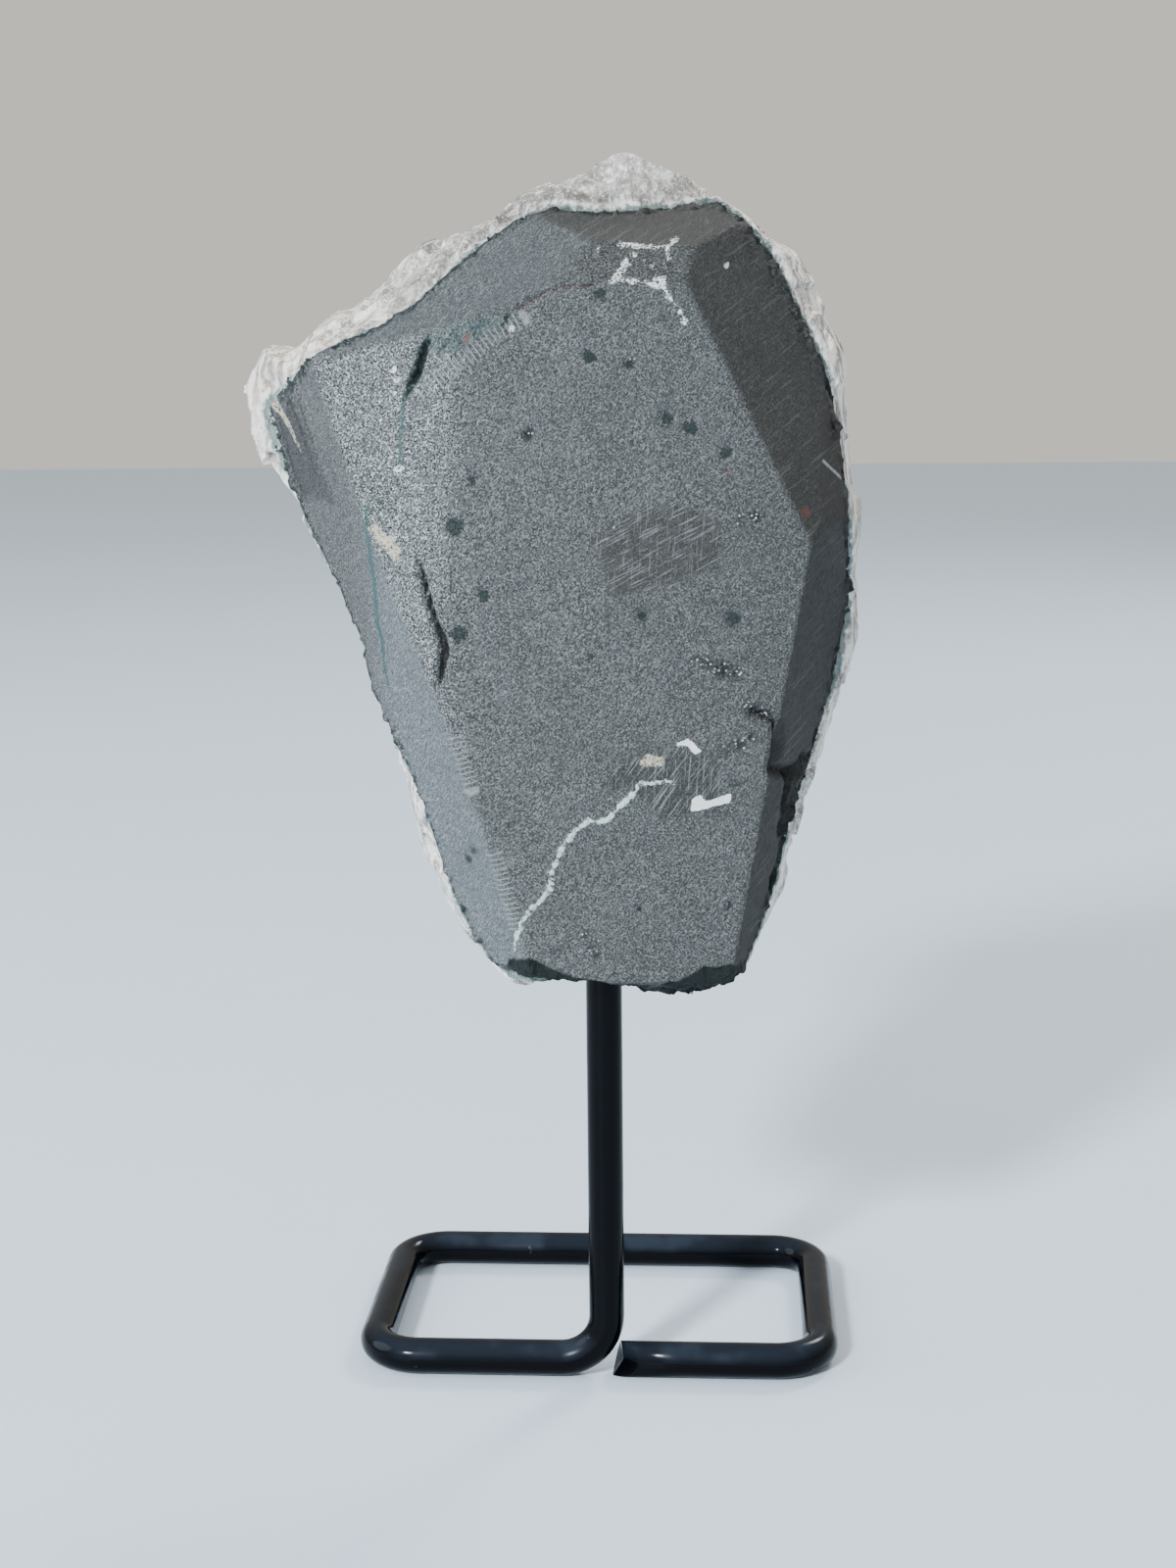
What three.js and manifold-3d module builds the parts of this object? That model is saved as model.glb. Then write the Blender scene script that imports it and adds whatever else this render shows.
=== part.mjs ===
// Apophyllite specimen on a bent-rod stand.
// Millimetres, +Z up. The sawn back of the stone looks along -Y, its crystals look along +Y.
// Everything is modelled about the middle of the rod loop on the table; the last lines move the
// whole group so that its origin is the bottom centre of its bounding box.
import * as THREE from 'three';
import Module from 'manifold-3d';
import { mergeVertices } from 'three/addons/utils/BufferGeometryUtils.js';
import { ConvexGeometry } from 'three/addons/geometries/ConvexGeometry.js';

// Rod stand
const rodDiameter = 6;
const rodSides = 16;
const loopWidth = 77.3;        // between rail centre lines, along X
const loopDepth = 49.5;        // between rail centre lines, along Y
const bendRadius = 8;          // centre line, all bends
const bendSteps = 5;
const postX = 1.97;
const postTop = 85;
const sweepStartX = 12;         // where the straight sweep of the front rail starts
// Two planes that shear the free end off, just past the foot of the post: where each crosses the
// rod's centre line, and how far it leans along X for each millimetre of Y and of Z
const endCuts = [
  { x: 3.6, perY: 0, perZ: 0.23 },
  { x: 3.7, perY: -1.2, perZ: 0.35 },
];
const clearance = 0.3;         // gap kept between separate pieces

// Basalt back
const backY = -34;             // large flat ground face
const blockSpare = 8;          // how far the unground block reaches behind the large flat face
const postSocketDepth = 1.2;   // free depth above the top of the post
const socketPlay = 0.1;        // added to the gap round the post, because its section has flat sides
const drillStart = 40;         // height below the stone where the drill begins
const edgeStep = 0.8;          // height of the broken edge where the basalt meets the crust
const contactY = -18;          // depth of the basalt and crust contact inside the stone
const contactEdgeRange = [-29, -12];   // least and greatest depth of that contact at the edge
const contactRelief = 1.5;
// Rings of the contact inside the edge: share of the way out, and which stations each ring keeps
const contactInner = { middle: { share: 0.55, every: 2 }, core: { share: 0.2, every: 8 } };

// Crust
const outlineY = -10;          // depth where the crust is widest
const stoneCentre = new THREE.Vector2(-4, 135);
const domeHeight = 6.5;          // how far the crust's middle stands in front of y = 0
const domeRimY = -3;           // depth of the dome at its rim
const domeRoundness = 2.4;
const domeRelief = 1.8;
const rimInset = 1.2;          // how far inside the basalt's edge the crust's outline may go
// Rings between the basalt's edge and the dome: share of the way out, and how much each waves
const lipRing = { share: 0.55, rise: 0.42, relief: 0.7, grain: 3, phase: 2.1 };
const widestRing = { share: 1, relief: 1.5, phase: 3.0 };
const shoulderRing = { share: 1, inset: 0.975, y: -4.5, relief: 1.2, phase: 4.2 };
const domeRings = [
  { share: 0.9, every: 1 }, { share: 0.72, every: 2 }, { share: 0.5, every: 2 }, { share: 0.25, every: 4 },
];
const contactPhase = 1.3;
const domePhase = 0.4;
// Sine waves that make the crust uneven: turns for each millimetre, phase factor and share
const waveTerms = [
  { x: 0.31, z: 0.12, phase: 1, share: 0.385 },
  { x: 0.17, z: -0.27, phase: 2.3, share: 0.385 },
  { x: 0.43, z: 0.38, phase: 3.7, share: 0.23 },
];
const stationGap = 0.034;      // radians, least angle between two stations round the rim

// Apophyllite crystals: tetragonal prisms with four corner faces and a flat top
const cornerSlope = 0.8067;    // how fast the corner faces close in, from the 60.3 degree face angle
const rootDepth = 4;           // how deep a crystal sits in the crust
const normalStep = 3;          // distance over which the crust's slope is read
const largeHeight = [1.1, 2.0];   // height of a large crystal against its half-width
const smallHeight = [0.5, 1.1];
const pointHeight = [0.35, 1.3];  // how far the unfinished point would stand above the flat top
const leastTop = 0.05;
const clusterLean = 0.5;       // how far the outer crystals of a cluster lean away from its middle
const largeLean = 0.35;        // random lean
const smallLean = 0.9;
const sizeSpread = 0.1;        // crystals differ from their size by this share
const smallCrystalReach = 0.95;  // share of the outline that the small crystals cover
const seed = 20461;

// Edge of the basalt where the crust starts, x and z, clockwise from the left tip
const basaltEdge = [
  [-54.2, 163.4], [-50.7, 167.0], [-43.0, 172.3], [-38.1, 174.6], [-31.7, 177.3], [-26.8, 180.3],
  [-18.8, 187.9], [-10.8, 193.6], [-6.1, 195.1], [0.9, 194.3], [12.6, 194.9], [20.4, 196.6],
  [24.6, 193.5], [29.4, 187.7], [34.9, 176.6], [38.8, 167.3], [40.9, 156.4], [42.3, 138.3],
  [42.4, 131.1], [41.9, 124.6], [38.9, 114.9], [35.3, 103.4], [33.0, 97.2], [31.1, 88.9],
  [28.6, 79.5], [27.9, 73.5], [24.5, 70.3], [16.4, 67.1], [6.7, 66.6], [-3.8, 69.3],
  [-12.8, 69.8], [-15.6, 71.6], [-19.8, 77.2], [-24.0, 85.8], [-28.0, 99.7], [-33.3, 111.7],
  [-36.4, 117.6], [-37.9, 126.8], [-41.6, 135.2], [-46.5, 143.5], [-51.2, 153.9], [-53.4, 160.3],
];

// Widest outline of the crust, same order
const crustOutline = [
  [-59.0, 171.4], [-55.5, 172.2], [-54.3, 173.8], [-48.4, 173.5], [-42.4, 179.0], [-38.9, 179.5],
  [-32.6, 185.4], [-27.7, 189.9], [-23.1, 191.4], [-16.3, 194.1], [-13.1, 197.0], [-5.8, 199.6],
  [2.6, 202.8], [6.1, 204.6], [10.5, 203.0], [16.4, 200.9], [19.4, 197.4], [26.7, 192.5],
  [33.4, 188.5], [37.0, 183.2], [39.2, 177.4], [41.4, 171.9], [42.3, 165.6], [43.0, 156.0],
  [44.3, 146.0], [44.2, 136.2], [44.4, 127.4], [41.5, 116.6], [37.2, 103.7], [34.5, 94.4],
  [31.7, 82.4], [28.4, 76.4], [26.8, 70.5], [20.4, 68.6], [13.6, 67.3], [4.5, 67.6],
  [-4.0, 69.2], [-12.0, 66.2], [-18.5, 70.4], [-22.2, 74.2], [-28.4, 85.6], [-32.2, 100.2],
  [-36.4, 115.3], [-36.9, 125.1], [-42.6, 137.4], [-49.2, 147.0], [-55.4, 155.6], [-58.4, 167.0],
];

// Flat faces sawn and ground on the back. Each starts from a point on the plane of the large flat
// face and falls away in a direction in the XZ plane, at a slope measured from that face.
const groundFaces = [
  { x: 0, z: 130, direction: 0, slope: 0 },          // large flat face
  { x: -21, z: 150, direction: 178, slope: 11 },     // upper left, barely tilted
  { x: -16, z: 178, direction: 111, slope: 50 },     // top left band
  { x: 4, z: 182.7, direction: 91, slope: 38 },      // small face under the top edge
  { x: 8, z: 186.9, direction: 88, slope: 66 },      // steep strip at the top edge
  { x: 20.6, z: 173.5, direction: 26, slope: 49 },   // large face at upper right
  { x: 32.4, z: 159.8, direction: 13.3, slope: 65.5 }, // steep strip at the upper right edge
  { x: 35.2, z: 138, direction: -6, slope: 64 },     // narrow dark face at the right
  { x: 26.6, z: 92, direction: -10, slope: 68 },     // lower right
  { x: -20.9, z: 110, direction: 197.8, slope: 49 },   // long face at the left
  { x: -29.3, z: 132, direction: 194.6, slope: 54.3 }, // narrow face below the left tip
  { x: 4, z: 71.9, direction: 270, slope: 61 },      // broken underside
  { x: -13.6, z: 76.0, direction: 238, slope: 56 },  // chipped lower left corner
];

// Clusters of large crystals: middle on the crust, reach, number and half-width of the crystals
const crystalClusters = [
  { name: 'apophyllite_main_cluster', x: 7, z: 131, reach: 22, count: 14, large: 8.8, small: 4.2 },
  { name: 'apophyllite_upper_cluster', x: -20, z: 165, reach: 14.5, count: 9, large: 7.6, small: 3.6 },
  { name: 'apophyllite_top_cluster', x: 13, z: 181, reach: 11.5, count: 7, large: 6.2, small: 3.2 },
  { name: 'apophyllite_tip_cluster', x: -44, z: 159, reach: 5.5, count: 4, large: 4.2, small: 2.6 },
  { name: 'apophyllite_right_cluster', x: 35, z: 158, reach: 7, count: 5, large: 5.0, small: 2.8 },
  { name: 'apophyllite_left_cluster', x: -23, z: 108, reach: 9, count: 6, large: 5.6, small: 3.0 },
  { name: 'apophyllite_foot_cluster', x: 9, z: 88, reach: 11, count: 7, large: 6.4, small: 3.4 },
];
const smallCrystalCount = 46;
const smallCrystalHalf = [1.4, 2.8];
const smallCrystalTaper = 0.55;  // width of the flat top against the foot
const golden = Math.PI * (3 - Math.sqrt(5));   // turn between neighbours on a spiral

const wasm = await Module();
wasm.setup();

function seededRandom(start) {
  let state = start;
  return () => {
    state = (state + 0x6d2b79f5) | 0;
    let t = Math.imul(state ^ (state >>> 15), 1 | state);
    t = (t + Math.imul(t ^ (t >>> 7), 61 | t)) ^ t;
    return ((t ^ (t >>> 14)) >>> 0) / 4294967296;
  };
}

function toSolid(geometry) {
  const plain = geometry.index ? geometry.toNonIndexed() : geometry.clone();
  plain.deleteAttribute('normal');
  plain.deleteAttribute('uv');
  const merged = mergeVertices(plain, 1e-4);
  return new wasm.Manifold(new wasm.Mesh({
    numProp: 3,
    vertProperties: new Float32Array(merged.attributes.position.array),
    triVerts: new Uint32Array(merged.index.array),
  }));
}

function toGeometry(solid) {
  const mesh = solid.getMesh();
  const geometry = new THREE.BufferGeometry();
  geometry.setAttribute('position', new THREE.BufferAttribute(new Float32Array(mesh.vertProperties), 3));
  geometry.setIndex(new THREE.BufferAttribute(new Uint32Array(mesh.triVerts), 1));
  geometry.computeVertexNormals();
  return geometry;
}

function largestPiece(solid) {
  const pieces = solid.decompose();
  return pieces.reduce((best, piece) => (piece.volume() > best.volume() ? piece : best));
}

function addNode(group, name, geometry, color, roughness, metalness) {
  const material = new THREE.MeshStandardMaterial({ color, roughness, metalness });
  const mesh = new THREE.Mesh(geometry, material);
  mesh.name = name;
  group.add(mesh);
  return mesh;
}

// A centre line made of straight runs and round bends, with a step at each listed point only
class RodLine extends THREE.Curve {
  constructor(points, tangents) {
    super();
    this.points = points;
    this.tangents = tangents;
  }

  getUtoTmapping(u) {
    return u;
  }

  getPoint(t, target = new THREE.Vector3()) {
    return target.copy(this.points[Math.round(t * (this.points.length - 1))]);
  }

  getTangent(t, target = new THREE.Vector3()) {
    return target.copy(this.tangents[Math.round(t * (this.points.length - 1))]);
  }
}

// Points round each bend; corners are where the straight centre lines would meet
function rodLine(corners) {
  const points = [corners[0]];
  const tangents = [corners[1].clone().sub(corners[0]).normalize()];
  for (let i = 1; i < corners.length - 1; i += 1) {
    const incoming = corners[i].clone().sub(corners[i - 1]).normalize();
    const outgoing = corners[i + 1].clone().sub(corners[i]).normalize();
    const start = corners[i].clone().addScaledVector(incoming, -bendRadius);
    const centre = start.clone().addScaledVector(outgoing, bendRadius);
    for (let step = 0; step <= bendSteps; step += 1) {
      const angle = (step / bendSteps) * Math.PI / 2;
      points.push(centre.clone()
        .addScaledVector(outgoing, -bendRadius * Math.cos(angle))
        .addScaledVector(incoming, bendRadius * Math.sin(angle)));
      tangents.push(incoming.clone().multiplyScalar(Math.cos(angle))
        .addScaledVector(outgoing, Math.sin(angle)));
    }
  }
  points.push(corners[corners.length - 1]);
  tangents.push(tangents[tangents.length - 1].clone());
  return new RodLine(points, tangents);
}

// Round section with a narrow flat underneath, so that the rails rest on real faces
function rodSection() {
  const reach = rodDiameter / 2 / Math.cos(Math.PI / rodSides);
  const corners = Array.from({ length: rodSides }, (_, k) => {
    const angle = (k + 0.5) * 2 * Math.PI / rodSides;
    return new THREE.Vector2(reach * Math.cos(angle), reach * Math.sin(angle));
  });
  return new THREE.Shape(corners);
}

// Moves the first ring of the sweep out to the nearer of the two shear planes
function shearFreeEnd(geometry) {
  const position = geometry.attributes.position;
  for (let i = 0; i < position.count; i += 1) {
    const isFirstRing = Math.abs(position.getX(i) - sweepStartX) < 1e-4 && position.getY(i) < 0;
    if (isFirstRing) {
      const dy = position.getY(i) + loopDepth / 2;
      const dz = position.getZ(i) - rodDiameter / 2;
      position.setX(i, Math.max(...endCuts.map((cut) => cut.x + cut.perY * dy + cut.perZ * dz)));
    }
  }
}

// One rod: sheared end, right rail, back rail, left rail, half of the front rail, then up the post
function makeStandRod() {
  const halfWidth = loopWidth / 2;
  const halfDepth = loopDepth / 2;
  const railZ = rodDiameter / 2;
  const corners = [
    new THREE.Vector3(sweepStartX, -halfDepth, railZ),
    new THREE.Vector3(halfWidth, -halfDepth, railZ),
    new THREE.Vector3(halfWidth, halfDepth, railZ),
    new THREE.Vector3(-halfWidth, halfDepth, railZ),
    new THREE.Vector3(-halfWidth, -halfDepth, railZ),
    new THREE.Vector3(postX, -halfDepth, railZ),
    new THREE.Vector3(postX, -halfDepth, postTop),
  ];
  const line = rodLine(corners);
  const rod = new THREE.ExtrudeGeometry(rodSection(), {
    steps: line.points.length - 1,
    extrudePath: line,
  });
  shearFreeEnd(rod);
  return toSolid(rod);
}

// Depth of one ground face, and of the whole ground back, at a point of the XZ plane
function faceDepth(face, x, z) {
  const direction = THREE.MathUtils.degToRad(face.direction);
  const away = (x - face.x) * Math.cos(direction) + (z - face.z) * Math.sin(direction);
  return backY + away * Math.tan(THREE.MathUtils.degToRad(face.slope));
}

function backDepth(x, z) {
  return Math.max(...groundFaces.map((face) => faceDepth(face, x, z)));
}

// Angles round the stone at which both outlines have a point
function stationAngles() {
  const angles = [...basaltEdge, ...crustOutline]
    .map(([x, z]) => Math.atan2(z - stoneCentre.y, x - stoneCentre.x))
    .sort((a, b) => a - b);
  return angles.filter((angle, i) => i === 0 || angle - angles[i - 1] > stationGap);
}

// Distance from the stone's centre to an outline, along an angle
function outlineReach(outline, angle) {
  const cos = Math.cos(angle);
  const sin = Math.sin(angle);
  let reach = 0;
  outline.forEach(([x0, z0], i) => {
    const [x1, z1] = outline[(i + 1) % outline.length];
    const ax = x0 - stoneCentre.x;
    const az = z0 - stoneCentre.y;
    const dx = x1 - x0;
    const dz = z1 - z0;
    const det = sin * dx - cos * dz;
    const along = (cos * az - sin * ax) / det;
    const distance = (dx * az - dz * ax) / det;
    if (along >= -1e-9 && along <= 1 + 1e-9 && distance > reach) reach = distance;
  });
  return reach;
}

// Slow waves that make the crust uneven, from -1 to 1
function waves(x, z, phase) {
  return waveTerms.reduce((sum, term) => (
    sum + term.share * Math.sin(x * term.x + z * term.z + phase * term.phase)
  ), 0);
}

function ringPoint(angle, reach, y) {
  const x = stoneCentre.x + reach * Math.cos(angle);
  const z = stoneCentre.y + reach * Math.sin(angle);
  return new THREE.Vector3(x, typeof y === 'function' ? y(x, z) : y, z);
}

// Closed body through a list of rings; the first and last close on a middle point.
// Rings are ordered from back to front, and each has its stations in the same turning order.
function ringBody(backMiddle, rings, frontMiddle) {
  const points = [backMiddle, ...rings.flat(), frontMiddle];
  const triangles = [];
  const starts = [];
  let next = 1;
  rings.forEach((ring) => {
    starts.push(next);
    next += ring.length;
  });
  const angleOf = (ring, i) => (i / ring.length);
  rings[0].forEach((_, i) => triangles.push(0, 1 + i, 1 + (i + 1) % rings[0].length));
  for (let r = 0; r < rings.length - 1; r += 1) {
    const a = rings[r];
    const b = rings[r + 1];
    let i = 0;
    let j = 0;
    while (i < a.length || j < b.length) {
      const stepA = j >= b.length || (i < a.length && angleOf(a, i + 1) <= angleOf(b, j + 1));
      const ai = starts[r] + i % a.length;
      const bj = starts[r + 1] + j % b.length;
      if (stepA) {
        triangles.push(ai, bj, starts[r] + (i + 1) % a.length);
        i += 1;
      } else {
        triangles.push(ai, bj, starts[r + 1] + (j + 1) % b.length);
        j += 1;
      }
    }
  }
  const last = rings[rings.length - 1];
  const lastStart = starts[starts.length - 1];
  last.forEach((_, i) => {
    triangles.push(points.length - 1, lastStart + (i + 1) % last.length, lastStart + i);
  });
  const geometry = new THREE.BufferGeometry().setFromPoints(points);
  geometry.setIndex(triangles);
  return geometry;
}

// Depth of the contact between basalt and crust: at the edge it meets the ground faces
function edgeContactDepth(x, z) {
  return THREE.MathUtils.clamp(backDepth(x, z) + edgeStep, ...contactEdgeRange);
}

function everyNth(list, step) {
  return list.filter((_, i) => i % step === 0);
}

function contactRings(angles, shift) {
  const edge = angles.map((angle) => {
    const point = ringPoint(angle, outlineReach(basaltEdge, angle), edgeContactDepth);
    point.y += shift;
    return point;
  });
  const depth = (x, z) => contactY + shift + contactRelief * waves(x, z, contactPhase);
  const inner = (ring) => everyNth(angles, ring.every).map((angle) => (
    ringPoint(angle, outlineReach(basaltEdge, angle) * ring.share, depth)
  ));
  return { edge, middle: inner(contactInner.middle), core: inner(contactInner.core) };
}

// Unground block of basalt: its walls run straight back from the contact
function rawBasalt(angles) {
  const contact = contactRings(angles, 0);
  const farBack = backY - blockSpare;
  const wall = contact.edge.map((point) => new THREE.Vector3(point.x, farBack, point.z));
  const middle = new THREE.Vector3(stoneCentre.x, farBack, stoneCentre.y);
  const front = new THREE.Vector3(stoneCentre.x, contactY, stoneCentre.y);
  return toSolid(ringBody(middle, [wall, contact.edge, contact.middle, contact.core], front));
}

// The same block with the flat faces sawn and ground on its back
function groundBasalt(block) {
  let basalt = block;
  const cutSize = 260;
  groundFaces.forEach((face) => {
    const cutter = new THREE.BoxGeometry(cutSize, cutSize, cutSize);
    cutter.translate(0, -cutSize / 2, 0);
    const direction = THREE.MathUtils.degToRad(face.direction);
    const away = new THREE.Vector3(Math.cos(direction), 0, Math.sin(direction));
    const hinge = new THREE.Vector3().crossVectors(new THREE.Vector3(0, 1, 0), away);
    const turn = new THREE.Matrix4().makeRotationAxis(hinge, -THREE.MathUtils.degToRad(face.slope));
    cutter.applyMatrix4(turn);
    cutter.translate(face.x, backY, face.z);
    basalt = basalt.subtract(toSolid(cutter));
  });
  return largestPiece(basalt);
}

// Hole drilled up into the stone for the post
function postSocket() {
  const radius = rodDiameter / 2 + clearance + socketPlay;
  const top = postTop + postSocketDepth;
  const drill = new THREE.CylinderGeometry(radius, radius, top - drillStart, rodSides);
  drill.rotateX(Math.PI / 2);
  drill.translate(postX, -loopDepth / 2, (top + drillStart) / 2);
  return toSolid(drill);
}

// Front surface of the crust, a low uneven dome
function crustFront(x, z) {
  const angle = Math.atan2(z - stoneCentre.y, x - stoneCentre.x);
  const reach = outlineReach(crustOutline, angle);
  const fraction = Math.min(1, Math.hypot(x - stoneCentre.x, z - stoneCentre.y) / reach);
  const rise = (domeHeight - domeRimY) * (1 - fraction ** domeRoundness);
  return domeRimY + rise + domeRelief * waves(x, z, domePhase);
}

function makeCrustBody(angles) {
  const contact = contactRings(angles, clearance);
  const rimRing = (ring, depth) => angles.map((angle, i) => {
    const inner = contact.edge[i];
    const innerReach = Math.hypot(inner.x - stoneCentre.x, inner.z - stoneCentre.y);
    const outerReach = Math.max(outlineReach(crustOutline, angle), innerReach - rimInset);
    const reach = (innerReach + (outerReach - innerReach) * ring.share) * (ring.inset ?? 1);
    const grain = ring.grain ?? 1;
    return ringPoint(angle, reach, (x, z) => (
      depth(inner.y) + ring.relief * waves(x * grain, z * grain, ring.phase)
    ));
  });
  const lip = rimRing(lipRing, (y) => y + (outlineY - y) * lipRing.rise);
  const widest = rimRing(widestRing, () => outlineY);
  const shoulder = rimRing(shoulderRing, () => shoulderRing.y);
  const dome = domeRings.map((ring) => everyNth(angles, ring.every).map((angle) => (
    ringPoint(angle, outlineReach(crustOutline, angle) * ring.share, crustFront)
  )));
  const backMiddle = new THREE.Vector3(stoneCentre.x, contactY + clearance, stoneCentre.y);
  const frontMiddle = ringPoint(0, 0, crustFront);
  const rings = [contact.core, contact.middle, contact.edge, lip, widest, shoulder, ...dome];
  return toSolid(ringBody(backMiddle, rings, frontMiddle));
}

// One crystal standing along +Z from its root: half-width, height of the flat top, height of the
// point where its corner faces would meet
function crystalGeometry(half, top, apex, root) {
  const points = [];
  const shoulder = apex - 2 * half / cornerSlope;
  const meeting = apex - half / cornerSlope;
  const spread = Math.max(leastTop, (apex - top) * cornerSlope);
  [[1, 1], [1, -1], [-1, 1], [-1, -1]].forEach(([sx, sy]) => {
    points.push(new THREE.Vector3(sx * half, sy * half, -root));
    if (shoulder < top) points.push(new THREE.Vector3(sx * half, sy * half, shoulder));
  });
  const addTurned = (a, b, z) => {
    [[a, b], [a, -b], [-a, b], [-a, -b], [b, a], [b, -a], [-b, a], [-b, -a]].forEach(([x, y]) => {
      points.push(new THREE.Vector3(x, y, z));
    });
  };
  if (top <= meeting) {
    addTurned(half, spread - half, top);
  } else {
    addTurned(half, 0, meeting);
    addTurned(spread, 0, top);
  }
  return new ConvexGeometry(points);
}

// Outward direction of the crust's front at a point
function frontNormal(x, z) {
  const riseX = crustFront(x + normalStep, z) - crustFront(x - normalStep, z);
  const riseZ = crustFront(x, z + normalStep) - crustFront(x, z - normalStep);
  return new THREE.Vector3(-riseX, 2 * normalStep, -riseZ).normalize();
}

// Blunt four-sided crystal of the fine bed between the clusters
function bluntGeometry(half, top, root) {
  const points = [];
  [[1, 1], [1, -1], [-1, 1], [-1, -1]].forEach(([sx, sy]) => {
    points.push(new THREE.Vector3(sx * half, sy * half, -root));
    points.push(new THREE.Vector3(sx * half * smallCrystalTaper, sy * half * smallCrystalTaper, top));
  });
  return new ConvexGeometry(points);
}

function placeSmall(crystal) {
  return stand(bluntGeometry(crystal.half, crystal.top, rootDepth), crystal);
}

// The same crystal, or its socket in the crust where every face is moved out by grow
function placeLarge(crystal, grow) {
  const apexShift = grow * Math.hypot(1, 1 / cornerSlope);
  const half = crystal.half + grow;
  const top = crystal.top + grow;
  return stand(crystalGeometry(half, top, crystal.apex + apexShift, rootDepth + grow), crystal);
}

function stand(geometry, crystal) {
  const turn = new THREE.Quaternion().setFromUnitVectors(new THREE.Vector3(0, 0, 1), crystal.axis);
  geometry.rotateZ(crystal.spin);
  geometry.applyQuaternion(turn);
  geometry.translate(crystal.x, crystal.y, crystal.z);
  return toSolid(geometry);
}

// A crystal at a place on the front; lean is how far its axis may stray from the surface's normal
function growCrystal(random, x, z, half, lean, heightShare) {
  const axis = frontNormal(x, z);
  axis.x += (random() - 0.5) * lean;
  axis.z += (random() - 0.5) * lean;
  const top = half * THREE.MathUtils.lerp(...heightShare, random());
  const point = half * THREE.MathUtils.lerp(...pointHeight, random());
  return {
    x,
    y: crustFront(x, z),
    z,
    half,
    top,
    apex: top + point,
    spin: random() * Math.PI,
    axis: axis.normalize(),
  };
}

// Crystals of one cluster, the largest in the middle and the rest leaning outwards round it
function clusterCrystals(cluster, random) {
  return Array.from({ length: cluster.count }, (_, i) => {
    const share = Math.sqrt(i / cluster.count);
    const angle = (i + random() * sizeSpread) * golden;
    const distance = cluster.reach * share * (1 - sizeSpread * random());
    const vary = 1 + sizeSpread * (2 * random() - 1);
    const half = THREE.MathUtils.lerp(cluster.large, cluster.small, share) * vary;
    const x = cluster.x + distance * Math.cos(angle);
    const z = cluster.z + distance * Math.sin(angle);
    const crystal = growCrystal(random, x, z, half, largeLean, largeHeight);
    crystal.axis.x += clusterLean * share * Math.cos(angle);
    crystal.axis.z += clusterLean * share * Math.sin(angle);
    crystal.axis.normalize();
    return crystal;
  });
}

function joined(solids) {
  return solids.reduce((sum, solid) => sum.add(solid));
}

// Small crystals over the rest of the front, on a spiral that keeps them evenly apart
function smallCrystals(random) {
  const crystals = [];
  for (let i = 0; i < smallCrystalCount; i += 1) {
    const angle = i * golden;
    const reach = outlineReach(crustOutline, Math.atan2(Math.sin(angle), Math.cos(angle)));
    const share = Math.sqrt((i + 1) / smallCrystalCount) * smallCrystalReach;
    const x = stoneCentre.x + reach * share * Math.cos(angle);
    const z = stoneCentre.y + reach * share * Math.sin(angle);
    const half = THREE.MathUtils.lerp(...smallCrystalHalf, random());
    crystals.push(growCrystal(random, x, z, half, smallLean, smallHeight));
  }
  const isBare = (crystal) => crystalClusters.every((cluster) => (
    Math.hypot(crystal.x - cluster.x, crystal.z - cluster.z) > cluster.reach + cluster.small
  ));
  return crystals.filter(isBare);
}

function makeStone(group) {
  const random = seededRandom(seed);
  const angles = stationAngles();
  const clusters = crystalClusters.map((cluster) => ({
    name: cluster.name,
    crystals: clusterCrystals(cluster, random),
  }));
  const small = joined(smallCrystals(random).map(placeSmall));
  const sockets = joined(clusters.flatMap((cluster) => (
    cluster.crystals.map((crystal) => placeLarge(crystal, clearance))
  )));
  const socket = postSocket();
  const block = rawBasalt(angles);
  const basalt = groundBasalt(block).subtract(socket);
  const behind = block.translate([0, clearance, 0]);
  const crustBody = makeCrustBody(angles).add(small).subtract(behind);
  const crust = largestPiece(crustBody.subtract(sockets).subtract(socket));
  addNode(group, 'basalt_matrix', toGeometry(largestPiece(basalt)), 0x55585a, 0.9, 0);
  addNode(group, 'zeolite_crust', toGeometry(crust), 0xd6d4cd, 0.6, 0);
  clusters.forEach((cluster) => {
    const solid = joined(cluster.crystals.map((crystal) => placeLarge(crystal, 0)));
    addNode(group, cluster.name, toGeometry(solid), 0xe4ece8, 0.08, 0);
  });
}

function makeSpecimen() {
  const group = new THREE.Group();
  group.name = 'apophyllite_on_stand';
  addNode(group, 'stand_rod', toGeometry(makeStandRod()), 0x0b0b0c, 0.25, 0);
  makeStone(group);
  const box = new THREE.Box3().setFromObject(group);
  const middle = box.getCenter(new THREE.Vector3());
  group.position.set(-middle.x, -middle.y, -box.min.z);
  return group;
}

export default makeSpecimen();
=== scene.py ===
import math
import bpy
import bmesh
import numpy as np
from mathutils import Matrix, Vector, bvhtree, kdtree, noise


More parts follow.
